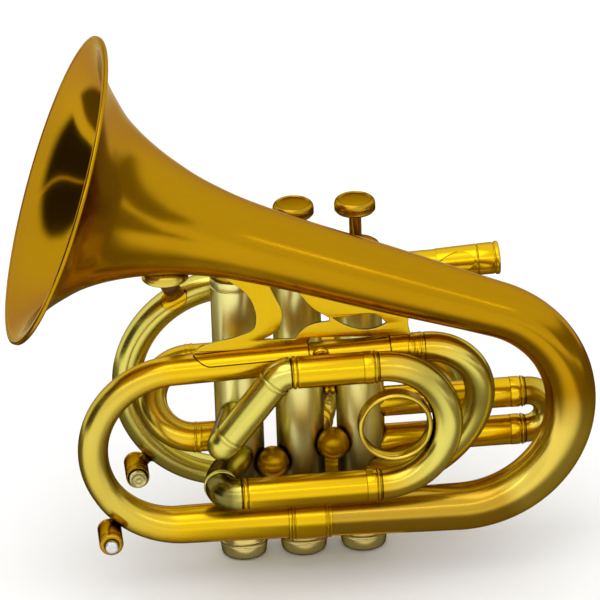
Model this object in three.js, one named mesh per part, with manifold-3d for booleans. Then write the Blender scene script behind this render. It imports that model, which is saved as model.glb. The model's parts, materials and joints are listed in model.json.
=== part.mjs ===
// A pocket trumpet in millimetres. +X points to the player, the bell opens towards -X and is the
// nearest part in -Y, +Z runs up along the valves. The origin is the middle of the second valve's foot.
import * as THREE from "three";
import { mergeVertices } from "three/addons/utils/BufferGeometryUtils.js";
import Module from "manifold-3d";

const wasm = await Module();
wasm.setup();

// Fits between pieces
const seam = 0.3;
const pistonPlay = 0.2;
const overrun = 3;

// Fineness
const turnedSides = 16;
const innerSides = 12;
const tubeSides = 10;
const bellSides = 24;
const bendStepDeg = 20;
const coilSteps = 6;
const coilSides = 5;

// Valve block: three equal valves in a row along X, valve 1 nearest the player
const valveSpacing = 24;
const casingRadius = 9.2;
const casingWall = 1.1;
const threadStep = 0.5;
const capRadius = 9.75;
const capNeckRadius = 9.35;
const bottomCapHeight = 9.6;
const bottomCapFloor = 2.4;
const bottomCapFootRadius = 5.6;
const topCapTop = 131.5;
const topCapHeight = 8.9;
const topCapBottom = topCapTop - topCapHeight;
const topCapRoof = 1.8;
const topCapRimRadius = 8.2;
const threadLength = 5.4;
const valveTravel = 13;
const springSolidLength = 8;
const springRadius = 5.6;
const springWireRadius = 0.55;
const springTurns = 5;
const pistonSpigotRadius = 6.6;
const pistonCupDepth = 9;
const feltThickness = 1.6;
const feltRadius = 6.4;
const stemRadius = 2.4;
const stemSeatDepth = 6;
const buttonRise = 19.6;
const buttonTop = topCapTop + buttonRise;
const buttonHeight = 5.7;
const buttonRadius = 8;
const buttonDish = 0.5;

// Tubing of the valve slides and crossings
const tubeWall = 0.7;
const branchRadius = 5.8;
const bandStep = 0.45;
const bandLength = 3.8;
const bowShoulder = 1;
const legEngagement = 30;

// Bell and tail: one spiral in the plane Y = bellPlane
const bellPlane = -27;
const bellAxisHeight = 140.8;
const bellPitchDeg = 20.7;
const bellRimDistance = 99.7;
const bellRimRadius = 60.45;
const bellWall = 0.9;
const rimWireRadius = 1.1;
const bellBowRadius = 44;
const bellBowX = 59.9;
const bottomRunTiltDeg = 0.65;
const bottomFerruleX = 0.3;
const bottomFerruleLength = 16.8;
const bottomFerruleWall = 0.55;
const tailBowRadius = 33.8;
const tailBowX = -49.6;
const topRunTiltDeg = 1.4;
const tailEndX = 46.6;
const tailRadius = 5.9;
const elbowRightX = 68.6;
const elbowRightY = -23.5;
const elbowDrop = 24.34;
const elbowPortHeight = 36;
const elbowPortDeg = -50;

// Leadpipe and tuning loop in the plane Y = backPlane
const backPlane = 24;
const leadpipeRadius = 5.7;
const receiverEndX = 82.3;
const receiverLength = 25;
const receiverRadius = 6.35;
const receiverRimStep = 0.35;
const receiverRimLength = 1.6;
const receiverCollarX = 76.6;
const socketMouthRadius = 5.1;
const socketThroatRadius = 4.6;
const leadpipePitchDeg = 1.55;
const frontBowX = -24.8;
const frontBowHeight = 65.2;
const frontBowRadius = 41.7;
const frontTubeRadius = 5.9;
const leadpipeEndX = -12;
const tuningBowX = 38;
const tuningBowRadius = 25.7;
const tuningSleeveEndX = -8;
const inletBowX = -41;
const inletHeight = 52.3;

// First slide, straight out of valve 1 towards the player
const firstSleeveRadius = 6;
const firstUpperHeight = 62.1;
const firstLowerHeight = 45.4;
const firstSleeveEndX = 89.3;

// Second slide, out of valve 2 to the back, turned a little towards the player
const secondDirectionDeg = 70;
const secondUpperHeight = 58.5;
const secondLowerHeight = 42;
const secondSleeveReach = 30;
const pullKnobRadius = 4.2;
const pullKnobNeckRadius = 2;
const pullKnobLength = 7;

// Third slide, in front of the bell's plane, with its finger ring
const thirdPlane = -40.4;
const thirdSleeveRadius = 6.25;
const thirdUpperDrop = 42.8;
const thirdSlideSpan = 51.2;
const thirdUpperHeight = bellAxisHeight - thirdUpperDrop;
const thirdLowerHeight = thirdUpperHeight - thirdSlideSpan;
const thirdSleeveEndX = 27.3;
const thirdUpperStartX = -6.6;
const thirdLowerStartX = -27.3;
const thirdElbowRadius = 7;
const thirdDropDeg = 51.3;
const thirdDropLength = 31.5;
const thirdTurnRadius = 6.5;
const thirdPortDeg = -104;
const thirdPortDrop = 33;
const ringRadius = 14.5;
const ringWall = 1.9;
const ringDepth = 6.4;

// Crossings and spacers between the casings
const knuckleRadius = 6.5;
const knuckleForward = 8;
const knuckleBoreRadius = 3.6;
const firstKnuckleHeight = 49.3;
const secondKnuckleHeight = 42.8;
const spacerHeight = 69.5;
const spacerRadius = 2.6;

// Brace plate between the bell and the top run
const plateThickness = 1.4;
const plateLeftX = -42.5;
const plateLength = 86;
const plateFootRise = 1.54;
const plateHeight = 50;
const footShell = 0.9;

// Stays
const stayBossRadius = 9;
const stayBossX = -52.4;
const stayBossDrop = 24.6;
const stayBossThickness = 2.2;
const stayRodRadius = 2.6;
const stayFootX = -45;
const stayFootWidth = 8.6;
const slideStayX = 6.1;
const slideStayRise = 2.4;
const slideStayRadius = 3.2;

// Water keys: push buttons in short cylinders that lie along Y
const keyRadius = 4.7;
const keyLength = 14.6;
const keyNeckRadius = 2.6;
const keyWall = 0.9;
const keyTravel = 2;
const keySpringWireRadius = 0.35;
const keySpringTurns = 3;
const frontKeyCapRadius = 3.6;
const bellKeyCapRadius = 2.6;
const keyForward = 2.8;
const keyOffset = 12.2;
const bellKeyForward = 5.2;
const bellKeyOffset = 11;
const keyPlungerLength = 5;

const axisX = new THREE.Vector3(1, 0, 0);
const axisY = new THREE.Vector3(0, 1, 0);
const axisZ = new THREE.Vector3(0, 0, 1);
const at = (x, y, z) => new THREE.Vector3(x, y, z);
const radians = THREE.MathUtils.degToRad;
const group = new THREE.Group();

const finishes = {
  bell: { color: 0x9a6a16, roughness: 0.34 },
  tube: { color: 0xc98f14, roughness: 0.3 },
  bow: { color: 0xa39a3c, roughness: 0.32 },
  casing: { color: 0xb9ad4c, roughness: 0.36 },
  cap: { color: 0x7d6424, roughness: 0.42 },
  piston: { color: 0xa8a6a0, roughness: 0.2 },
  steel: { color: 0x8c8c8e, roughness: 0.35 },
  nickel: { color: 0xd2d2d6, roughness: 0.18 },
  felt: { color: 0x2c3a2e, roughness: 0.95 },
};

// Turns a face list inside out where its volume is negative, so every piece faces outwards
function facingOut(geometry) {
  const place = geometry.attributes.position;
  const index = geometry.index.array;
  const [a, b, c] = [at(0, 0, 0), at(0, 0, 0), at(0, 0, 0)];
  let volume = 0;
  for (let i = 0; i < index.length; i += 3) {
    a.fromBufferAttribute(place, index[i]);
    b.fromBufferAttribute(place, index[i + 1]);
    c.fromBufferAttribute(place, index[i + 2]);
    volume += a.dot(b.cross(c));
  }
  if (volume < 0) {
    for (let i = 0; i < index.length; i += 3) {
      [index[i], index[i + 1]] = [index[i + 1], index[i]];
    }
  }
  return geometry;
}

function closed(geometry) {
  const bare = geometry.clone();
  bare.deleteAttribute("normal");
  bare.deleteAttribute("uv");
  return facingOut(mergeVertices(bare));
}

function solidOf(geometry) {
  const shell = closed(geometry);
  const vertProperties = new Float32Array(shell.attributes.position.array);
  const triVerts = new Uint32Array(shell.index.array);
  return new wasm.Manifold(new wasm.Mesh({ numProp: 3, vertProperties, triVerts }));
}

function geometryOf(solid) {
  const mesh = solid.getMesh();
  const geometry = new THREE.BufferGeometry();
  geometry.setAttribute("position", new THREE.BufferAttribute(mesh.vertProperties, 3));
  geometry.setIndex(new THREE.BufferAttribute(mesh.triVerts, 1));
  return geometry;
}

const joined = (first, ...others) => others.reduce((sum, other) => sum.add(other), first);
const cut = (first, ...others) => others.reduce((rest, other) => rest.subtract(other), first);

function piece(name, shape, finish) {
  const geometry = shape.isBufferGeometry ? closed(shape) : geometryOf(shape);
  geometry.computeVertexNormals();
  const mesh = new THREE.Mesh(
    geometry,
    new THREE.MeshStandardMaterial({ ...finishes[finish], metalness: finish === "felt" ? 0 : 1 }),
  );
  mesh.name = name;
  group.add(mesh);
  return mesh;
}

// A turned shape about Z from [radius, height] pairs; one that doesn't touch the axis closes on itself
function turned(profile, sides = turnedSides) {
  const onAxis = profile[0][0] === 0 && profile[profile.length - 1][0] === 0;
  const outline = onAxis ? profile : [...profile, profile[0]];
  const lathe = new THREE.LatheGeometry(outline.map(([r, z]) => new THREE.Vector2(r, z)), sides);
  return lathe.rotateX(Math.PI / 2);
}

// Stands a shape made along Z at a point, with its Z turned to a direction
function pointed(geometry, point, direction) {
  geometry.applyQuaternion(new THREE.Quaternion().setFromUnitVectors(axisZ, direction));
  return geometry.translate(point.x, point.y, point.z);
}

function rod(radius, from, to, sides = turnedSides) {
  const direction = to.clone().sub(from);
  const length = direction.length();
  const shape = turned([[0, 0], [radius, 0], [radius, length], [0, length]], sides);
  return pointed(shape, from, direction.normalize());
}

// A centre line made of straights, bends and free swings, with a frame at any distance
class Route {
  constructor(point, along, side) {
    this.end = { point, along: along.clone().normalize(), side };
    this.start = this.end;
    this.parts = [];
    this.length = 0;
    this.stops = [0];
  }

  add(length, steps, frame) {
    this.parts.push({ from: this.length, length, frame });
    for (let i = 1; i <= steps; i++) this.stops.push(this.length + (length * i) / steps);
    this.length += length;
    this.end = frame(length);
    return this;
  }

  straight(length) {
    const { point, along, side } = this.end;
    return this.add(length, 1, (d) => ({ point: point.clone().addScaledVector(along, d), along, side }));
  }

  // Turns by the right-hand rule about an axis square to the line
  bend(radius, axis, degrees) {
    const { point, along, side } = this.end;
    const centre = point.clone().addScaledVector(axis.clone().cross(along), radius);
    const steps = Math.ceil(degrees / bendStepDeg);
    return this.add(radius * radians(degrees), steps, (d) => {
      const turn = new THREE.Quaternion().setFromAxisAngle(axis, d / radius);
      return {
        point: point.clone().sub(centre).applyQuaternion(turn).add(centre),
        along: along.clone().applyQuaternion(turn),
        side: side.clone().applyQuaternion(turn),
      };
    });
  }

  // Runs freely to a point and heading; the reaches say how far each end holds its direction
  swing(reachOut, target, heading, reachIn, steps) {
    const { point, along, side } = this.end;
    const aim = heading.clone().normalize();
    const curve = new THREE.CubicBezierCurve3(
      point,
      point.clone().addScaledVector(along, reachOut),
      target.clone().addScaledVector(aim, -reachIn),
      target,
    );
    const length = curve.getLength();
    return this.add(length, steps, (d) => {
      const share = Math.min(d / length, 1);
      const tangent = share === 0 ? along : share === 1 ? aim : curve.getTangentAt(share);
      const lean = side.clone().addScaledVector(tangent, -side.dot(tangent)).normalize();
      return { point: curve.getPointAt(share), along: tangent, side: lean };
    });
  }

  at(distance) {
    const within = ({ from, length }) => distance <= from + length * (1 + Number.EPSILON);
    const part = this.parts.find(within) ?? this.parts[this.parts.length - 1];
    return part.frame(distance - part.from);
  }
}

function valueAt(pairs, distance) {
  const next = pairs.findIndex(([d]) => d >= distance);
  if (next === 0) return pairs[0][1];
  if (next < 0) return pairs[pairs.length - 1][1];
  const [[d0, v0], [d1, v1]] = [pairs[next - 1], pairs[next]];
  return v0 + ((v1 - v0) * (distance - d0)) / (d1 - d0);
}

// The rings of one wall: every [distance, radius] pair, and the route's own stops between them
function wallRings(route, pairs) {
  const first = pairs[0][0];
  const last = pairs[pairs.length - 1][0];
  const near = (a, b) => Math.abs(a - b) < seam;
  const between = route.stops.filter((d) => d > first && d < last && !pairs.some(([p]) => near(p, d)));
  return [...pairs, ...between.map((d) => [d, valueAt(pairs, d)])].sort((a, b) => a[0] - b[0]);
}

// A tube along a route: its outside and its bore are [distance, radius] pairs, a step repeats a distance.
// Without a bore the tube is solid.
function pipe(route, outside, bore, sides = tubeSides) {
  const rings = [...wallRings(route, outside), ...(bore ? wallRings(route, bore).reverse() : [])];
  const places = [];
  for (const [distance, radius] of rings) {
    const { point, along, side } = route.at(distance);
    const up = along.clone().cross(side);
    for (let i = 0; i < sides; i++) {
      const angle = (2 * Math.PI * i) / sides;
      const reach = point.clone().addScaledVector(side, radius * Math.cos(angle));
      places.push(...reach.addScaledVector(up, radius * Math.sin(angle)));
    }
  }
  const faces = [];
  const last = (rings.length - 1) * sides;
  for (let ring = 0; ring < (bore ? rings.length : rings.length - 1); ring++) {
    const here = ring * sides;
    const there = ((ring + 1) % rings.length) * sides;
    for (let i = 0; i < sides; i++) {
      const j = (i + 1) % sides;
      faces.push(here + i, here + j, there + i, there + i, here + j, there + j);
    }
  }
  for (let i = 1; !bore && i < sides - 1; i++) {
    faces.push(0, i + 1, i, last, last + i, last + i + 1);
  }
  const geometry = new THREE.BufferGeometry();
  geometry.setAttribute("position", new THREE.Float32BufferAttribute(places, 3));
  geometry.setIndex(faces);
  return geometry;
}

const even = (route, radius) => [[0, radius], [route.length, radius]];
const evenPipe = (route, radius, bore) => pipe(route, even(route, radius), even(route, bore));
const clearance = (route, outside) => solidOf(pipe(route, outside.map(([d, r]) => [d, r + seam])));

// An outline in the XZ plane pushed through from one Y to another
function plateSolid(points, holes, fromY, toY) {
  const shape = new THREE.Shape(points.map(([x, z]) => new THREE.Vector2(x, z)));
  for (const hole of holes) shape.holes.push(new THREE.Path(hole.map(([x, z]) => new THREE.Vector2(x, z))));
  const slab = new THREE.ExtrudeGeometry(shape, { depth: toY - fromY, bevelEnabled: false });
  slab.rotateX(Math.PI / 2);
  return solidOf(slab.translate(0, toY, 0));
}

// Valve positions and what is drilled into each casing
const valves = [1, 2, 3].map((number) => (
  { number, name: `valve_${number}`, x: valveSpacing * (2 - number), drills: [] }
));
const [valve1, valve2, valve3] = valves;
const casingBottom = bottomCapFloor + seam;
const casingBore = casingRadius - casingWall;
const threadRadius = casingRadius - threadStep;

function casingClearance(valve) {
  return solidOf(rod(casingRadius + seam, at(valve.x, 0, 0), at(valve.x, 0, topCapTop)));
}

// A tube end at a casing: the tube gets a saddle and the casing gets a hole of the tube's bore
function meetCasing(valve, solid, end, bore) {
  const inwards = end.point.clone().addScaledVector(end.along, casingRadius);
  const outwards = end.point.clone().addScaledVector(end.along, -casingRadius);
  valve.drills.push(solidOf(rod(bore, outwards, inwards, tubeSides)));
  return cut(solid, casingClearance(valve));
}

const portAt = (valve, degrees, height, reach) =>
  at(valve.x + reach * Math.cos(radians(degrees)), reach * Math.sin(radians(degrees)), height);

// Bell: mouth, flare, right-hand bow and the bottom run as far as its ferrule
const pitch = radians(bellPitchDeg);
const bellHeading = at(Math.cos(pitch), 0, -Math.sin(pitch));
const rimCentre = at(0, bellPlane, bellAxisHeight).addScaledVector(bellHeading, -bellRimDistance);
const bellBowEntryX = bellBowX + bellBowRadius * Math.sin(pitch);
const bellStemLength = bellRimDistance + bellBowEntryX / Math.cos(pitch);
const bellRoute = new Route(rimCentre, bellHeading, axisY);
bellRoute.straight(bellStemLength);
bellRoute.bend(bellBowRadius, axisY, 180 - bellPitchDeg + bottomRunTiltDeg);
const bellBowEnd = bellRoute.length;
bellRoute.straight(bellBowX - bottomFerruleX);
const bellTurn = bellBowEnd - bellStemLength;

// Radius along the bell, as shares of the rim's radius, at shares of the stem's length
const flareShares = [
  [0.009, 0.955], [0.022, 0.872], [0.044, 0.768], [0.072, 0.673], [0.111, 0.561], [0.166, 0.464],
  [0.233, 0.379], [0.311, 0.308], [0.417, 0.256], [0.556, 0.23], [0.722, 0.215], [1, 0.187],
];
const bowShares = [[0.5, 0.172], [1, 0.155]];
const bellOutside = [
  [0, bellRimRadius - rimWireRadius],
  [0, bellRimRadius],
  [rimWireRadius, bellRimRadius],
  ...flareShares.map(([d, r]) => [d * bellStemLength, r * bellRimRadius]).filter(([d]) => d > rimWireRadius),
  ...bowShares.map(([d, r]) => [bellStemLength + d * bellTurn, r * bellRimRadius]),
];
const bottomRunShare = 0.136;
const bottomRunRadius = bottomRunShare * bellRimRadius;
bellOutside.push([bellRoute.length, bottomRunRadius]);
const bellBore = [
  [0, bellRimRadius - 2 * rimWireRadius],
  ...bellOutside.slice(3).map(([d, r]) => [d, r - bellWall]),
];
piece("bell", pipe(bellRoute, bellOutside.slice(1), bellBore, bellSides), "bell");

// Tail: the rest of the bottom run, the left-hand bow and the top run
const tailRoute = new Route(bellRoute.end.point.clone(), bellRoute.end.along.clone(), axisY);
tailRoute.end.point.addScaledVector(bellRoute.end.along, seam);
tailRoute.straight(bottomFerruleX - tailBowX - seam);
const tailBowStart = tailRoute.length;
tailRoute.bend(tailBowRadius, axisY, 180 - bottomRunTiltDeg - topRunTiltDeg);
const tailBowEnd = tailRoute.length;
const topRunStart = tailRoute.end.point.clone();
tailRoute.straight((tailEndX - topRunStart.x) / Math.cos(radians(topRunTiltDeg)));
const tailStartShare = 0.124;
const tailTaperEnd = tailBowStart + (tailBowEnd - tailBowStart) / 3;
const tailOutside = [
  [0, bottomRunRadius],
  [tailBowStart, tailStartShare * bellRimRadius],
  [tailTaperEnd, tailRadius],
  [tailRoute.length - bandLength, tailRadius],
  [tailRoute.length - bandLength, tailRadius + bandStep],
  [tailRoute.length, tailRadius + bandStep],
];
const tailBore = [
  [0, bottomRunRadius - bellWall],
  [tailBowStart, tailStartShare * bellRimRadius - bellWall],
  [tailTaperEnd, tailRadius - tubeWall],
  [tailRoute.length, tailRadius - tubeWall],
];
piece("bell_tail", pipe(tailRoute, tailOutside, tailBore), "tube");

// The ferrule over the joint of bell and tail
const ferruleRoute = new Route(bellRoute.end.point.clone(), bellRoute.end.along, axisY);
ferruleRoute.end.point.addScaledVector(bellRoute.end.along, -bottomFerruleLength / 2);
ferruleRoute.straight(bottomFerruleLength);
const ferruleBore = bottomRunRadius + seam * 1.4;
const ferrule = [even(ferruleRoute, ferruleBore + bottomFerruleWall), even(ferruleRoute, ferruleBore)];
piece("bell_ferrule", pipe(ferruleRoute, ...ferrule, bellSides), "tube");

// The small bow from the tail back into valve 1
const elbowRoute = new Route(tailRoute.end.point.clone(), tailRoute.end.along, axisY);
elbowRoute.end.point.addScaledVector(tailRoute.end.along, seam);
const elbowReachShare = 0.55;
const elbowSide = at(elbowRightX, elbowRightY, elbowRoute.end.point.z - elbowDrop);
const elbowLean = at(-0.06, 0.22, -1);
elbowRoute.swing(elbowReachShare * elbowDrop, elbowSide, elbowLean, elbowReachShare * elbowDrop, 5);
const elbowTarget = portAt(valve1, elbowPortDeg, elbowPortHeight, casingRadius * 0.8);
const elbowHeading = portAt(valve1, elbowPortDeg, 0, -1).sub(at(valve1.x, 0, 0));
elbowRoute.swing(elbowReachShare * elbowDrop * 1.5, elbowTarget, elbowHeading, elbowDrop, 7);
const elbowSolid = solidOf(evenPipe(elbowRoute, tailRadius, tailRadius - tubeWall));
piece("tail_bow", meetCasing(valve1, elbowSolid, elbowRoute.end, tailRadius - tubeWall), "bow");

// Leadpipe and its receiver, sloping gently down to the front bow
const leadPitch = radians(leadpipePitchDeg);
const leadHeading = at(-Math.cos(leadPitch), 0, -Math.sin(leadPitch));
const frontBowTop = at(frontBowX, backPlane, frontBowHeight);
frontBowTop.x -= frontBowRadius * Math.sin(leadPitch);
frontBowTop.z += frontBowRadius * Math.cos(leadPitch);
const leadDistance = (x) => (receiverEndX - x) / Math.cos(leadPitch);
const receiverStart = frontBowTop.clone().addScaledVector(leadHeading, -leadDistance(frontBowTop.x));
const receiverRoute = new Route(receiverStart, leadHeading, axisY).straight(receiverLength);
const collarAt = leadDistance(receiverCollarX);
const leadSeat = receiverLength - bandLength * 2;
const leadBore = leadpipeRadius - tubeWall;
piece("mouthpiece_receiver", pipe(
  receiverRoute,
  [
    [0, receiverRadius + receiverRimStep],
    [receiverRimLength, receiverRadius + receiverRimStep],
    [receiverRimLength, receiverRadius],
    [collarAt, receiverRadius],
    [collarAt, receiverRadius + bandStep],
    [collarAt + receiverRimLength, receiverRadius + bandStep],
    [collarAt + receiverRimLength, receiverRadius],
    [leadSeat, receiverRadius + seam],
    [receiverLength, leadpipeRadius + seam + tubeWall],
  ],
  [
    [0, socketMouthRadius],
    [leadSeat, socketThroatRadius],
    [leadSeat, leadpipeRadius + seam],
    [receiverLength, leadpipeRadius + seam],
  ],
  turnedSides,
), "tube");

const leadStart = receiverStart.clone().addScaledVector(leadHeading, leadSeat + seam);
const leadRoute = new Route(leadStart, leadHeading, axisY);
leadRoute.straight(leadDistance(leadpipeEndX) - leadSeat - seam);
const leadEnd = leadRoute.length;
const leadOutside = [
  [0, leadpipeRadius],
  [leadEnd - bandLength * 2, leadpipeRadius],
  [leadEnd - bandLength * 2, frontTubeRadius + bandStep],
  [leadEnd, frontTubeRadius + bandStep],
];
piece("leadpipe", pipe(leadRoute, leadOutside, [[0, leadBore], [leadEnd, leadBore]]), "tube");

// Front bow: the large left-hand bow of the leadpipe and the start of the lower leg
const frontRoute = new Route(leadRoute.end.point.clone(), leadHeading, axisY);
frontRoute.end.point.addScaledVector(leadHeading, seam);
frontRoute.straight((leadpipeEndX - frontBowTop.x) / Math.cos(leadPitch) - seam);
frontRoute.bend(frontBowRadius, axisY.clone().negate(), 180 - leadpipePitchDeg);
frontRoute.straight(tuningSleeveEndX - frontBowX - seam);
const frontOutside = even(frontRoute, frontTubeRadius);
piece("front_bow", pipe(frontRoute, frontOutside, even(frontRoute, frontTubeRadius - tubeWall)), "bow");

// A sleeve with a raised band at each end, open for the slide's leg at its far end
function sleeve(start, heading, side, length, radius) {
  const route = new Route(start, heading, side).straight(length);
  const bore = radius - tubeWall;
  const outside = [
    [0, radius + bandStep],
    [bandLength / 2, radius + bandStep],
    [bandLength / 2, radius],
    [length - bandLength, radius],
    [length - bandLength, radius + bandStep],
    [length, radius + bandStep],
  ];
  return { route, solid: solidOf(pipe(route, outside, [[0, bore], [length, bore]])), bore };
}

// A slide: two legs that run in the sleeves, and the bow between them
function slideGeometry(firstMouth, secondMouth, outwards, sleeveRadius) {
  const across = secondMouth.clone().sub(firstMouth);
  const bendAxis = outwards.clone().cross(across).normalize();
  const legRadius = sleeveRadius - tubeWall - seam;
  const route = new Route(firstMouth.clone().addScaledVector(outwards, -legEngagement), outwards, bendAxis);
  route.straight(legEngagement + bowShoulder);
  route.bend(across.length() / 2, bendAxis, 180);
  route.straight(legEngagement + bowShoulder);
  const shoulder = legEngagement + seam;
  const bowRadius = legRadius + seam * 2;
  return pipe(
    route,
    [
      [0, legRadius],
      [shoulder, legRadius],
      [shoulder, bowRadius],
      [route.length - shoulder, bowRadius],
      [route.length - shoulder, legRadius],
      [route.length, legRadius],
    ],
    [[0, legRadius - tubeWall], [route.length, legRadius - tubeWall]],
  );
}

// Tuning loop: lower leg, the slide that faces the player, upper leg and the inlet bow of valve 3
const tuningLower = frontBowHeight - frontBowRadius;
const tuningUpper = tuningLower + 2 * tuningBowRadius;
const tuningMouthX = tuningBowX - bowShoulder;
const tuningStart = at(tuningSleeveEndX, backPlane, tuningLower);
const tuningSleeveRadius = frontTubeRadius;
const lowerSleeve = sleeve(tuningStart, axisX, axisY, tuningMouthX - tuningSleeveEndX, tuningSleeveRadius);
piece("tuning_sleeve_lower", lowerSleeve.solid, "tube");
const upperStart = at(tuningSleeveEndX, backPlane, tuningUpper);
const upperSleeve = sleeve(upperStart, axisX, axisY, tuningMouthX - tuningSleeveEndX, tuningSleeveRadius);
piece("tuning_sleeve_upper", upperSleeve.solid, "tube");
piece("main_tuning_slide", slideGeometry(
  at(tuningMouthX, backPlane, tuningLower),
  at(tuningMouthX, backPlane, tuningUpper),
  axisX,
  tuningSleeveRadius,
), "bow");

const backwards = axisX.clone().negate();
const inletRoute = new Route(at(tuningSleeveEndX - seam, backPlane, tuningUpper), backwards, axisY);
inletRoute.straight(tuningSleeveEndX - seam - inletBowX);
const inletAcross = at(0, -backPlane, inletHeight - tuningUpper);
const inletAxis = backwards.clone().cross(inletAcross).normalize();
const inletBowStart = inletRoute.length;
inletRoute.bend(inletAcross.length() / 2, inletAxis, 180);
const inletBowEnd = inletRoute.length;
inletRoute.straight(valve3.x - inletBowX - casingRadius * 0.5);
const inletBand = (start) => [
  [start - bandLength / 2, frontTubeRadius],
  [start - bandLength / 2, frontTubeRadius + bandStep],
  [start + bandLength / 2, frontTubeRadius + bandStep],
  [start + bandLength / 2, frontTubeRadius],
];
const inletOutside = [
  [0, frontTubeRadius],
  ...inletBand(inletBowStart),
  ...inletBand(inletBowEnd),
  [inletRoute.length, frontTubeRadius],
];
const inletBore = frontTubeRadius - tubeWall;
const inletSolid = solidOf(pipe(inletRoute, inletOutside, [[0, inletBore], [inletRoute.length, inletBore]]));
piece("inlet_bow", meetCasing(valve3, inletSolid, inletRoute.end, inletBore), "tube");

// First slide
const firstHeights = { upper: firstUpperHeight, lower: firstLowerHeight };
for (const [name, height] of Object.entries(firstHeights)) {
  const start = portAt(valve1, 0, height, casingRadius * 0.8);
  const tube = sleeve(start, axisX, axisY, firstSleeveEndX - start.x, firstSleeveRadius);
  const inside = { point: start, along: axisX.clone().negate() };
  piece(`first_sleeve_${name}`, meetCasing(valve1, tube.solid, inside, tube.bore - seam * 2), "tube");
}
piece("first_slide", slideGeometry(
  at(firstSleeveEndX, 0, firstLowerHeight),
  at(firstSleeveEndX, 0, firstUpperHeight),
  axisX,
  firstSleeveRadius,
), "bow");

// Second slide with its pull knob
const secondAlong = at(Math.cos(radians(secondDirectionDeg)), Math.sin(radians(secondDirectionDeg)), 0);
const secondSide = at(-secondAlong.y, secondAlong.x, 0);
for (const [name, height] of Object.entries({ upper: secondUpperHeight, lower: secondLowerHeight })) {
  const start = portAt(valve2, secondDirectionDeg, height, casingRadius * 0.8);
  const tube = sleeve(start, secondAlong, secondSide, secondSleeveReach - casingRadius * 0.8, branchRadius);
  const inside = { point: start, along: secondAlong.clone().negate() };
  piece(`second_sleeve_${name}`, meetCasing(valve2, tube.solid, inside, tube.bore - seam * 2), "tube");
}
const secondLegShare = 0.55;
const secondMouth = (height) => portAt(valve2, secondDirectionDeg, height, secondSleeveReach);
function secondSlide() {
  const first = secondMouth(secondLowerHeight);
  const across = secondMouth(secondUpperHeight).sub(first);
  const bendAxis = secondAlong.clone().cross(across).normalize();
  const legRadius = branchRadius - tubeWall - seam;
  const leg = legEngagement * secondLegShare;
  const route = new Route(first.clone().addScaledVector(secondAlong, -leg), secondAlong, bendAxis);
  route.straight(leg + bowShoulder);
  route.bend(across.length() / 2, bendAxis, 180);
  route.straight(leg + bowShoulder);
  const bowRadius = legRadius + seam * 2;
  const shoulder = leg + seam;
  const tube = pipe(
    route,
    [
      [0, legRadius],
      [shoulder, legRadius],
      [shoulder, bowRadius],
      [route.length - shoulder, bowRadius],
      [route.length - shoulder, legRadius],
      [route.length, legRadius],
    ],
    [[0, legRadius - tubeWall], [route.length, legRadius - tubeWall]],
  );
  const tip = route.at(route.length / 2).point.addScaledVector(secondAlong, bowRadius - tubeWall);
  const knob = turned([
    [0, 0],
    [pullKnobNeckRadius, 0],
    [pullKnobNeckRadius, pullKnobLength * 0.5],
    [pullKnobRadius, pullKnobLength * 0.62],
    [pullKnobRadius, pullKnobLength * 0.88],
    [pullKnobRadius * 0.7, pullKnobLength],
    [0, pullKnobLength],
  ], tubeSides);
  return joined(solidOf(tube), solidOf(pointed(knob, tip, secondAlong)));
}
piece("second_slide", secondSlide(), "bow");

// Third slide: sleeves, slide and finger ring in the front plane
const thirdUpperMouth = at(thirdSleeveEndX, thirdPlane, thirdUpperHeight);
const thirdLowerMouth = at(thirdSleeveEndX, thirdPlane, thirdLowerHeight);
const thirdStarts = {
  upper: [thirdUpperStartX, thirdUpperHeight],
  lower: [thirdLowerStartX, thirdLowerHeight],
};
for (const [name, [x, height]] of Object.entries(thirdStarts)) {
  const tube = sleeve(at(x, thirdPlane, height), axisX, axisY, thirdSleeveEndX - x, thirdSleeveRadius);
  piece(`third_sleeve_${name}`, tube.solid, "tube");
}
piece("third_slide", slideGeometry(thirdLowerMouth, thirdUpperMouth, axisX, thirdSleeveRadius), "bow");

// Upper branch: ball elbow, sloping tube and a tight turn back into valve 3
const thirdBore = thirdSleeveRadius - tubeWall;
const upperRoute = new Route(at(thirdUpperStartX - seam, thirdPlane, thirdUpperHeight), backwards, axisY);
upperRoute.bend(thirdElbowRadius, axisY.clone().negate(), thirdDropDeg);
const upperElbowEnd = upperRoute.length;
upperRoute.straight(thirdDropLength);
const dropEnd = upperRoute.length;
const thirdUpperPortHeight = thirdUpperHeight - thirdPortDrop;
const upperTarget = portAt(valve3, thirdPortDeg, thirdUpperPortHeight, casingRadius * 0.8);
const portHeading = portAt(valve3, thirdPortDeg, 0, -1).sub(at(valve3.x, 0, 0));
upperRoute.swing(thirdTurnRadius, upperTarget, portHeading, thirdTurnRadius * 3.2, 8);
const beadLength = bandLength / 2;
const bead = (start) => [
  [start, thirdSleeveRadius],
  [start, thirdSleeveRadius + bandStep],
  [start + beadLength, thirdSleeveRadius + bandStep],
  [start + beadLength, thirdSleeveRadius],
];
const upperOutside = [
  [0, thirdSleeveRadius],
  ...bead(upperElbowEnd + seam),
  ...bead(dropEnd - beadLength - seam),
  [upperRoute.length, thirdSleeveRadius],
];
const upperBranch = solidOf(pipe(upperRoute, upperOutside, [[0, thirdBore], [upperRoute.length, thirdBore]]));
piece("third_branch_upper", meetCasing(valve3, upperBranch, upperRoute.end, thirdBore), "bow");

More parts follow.
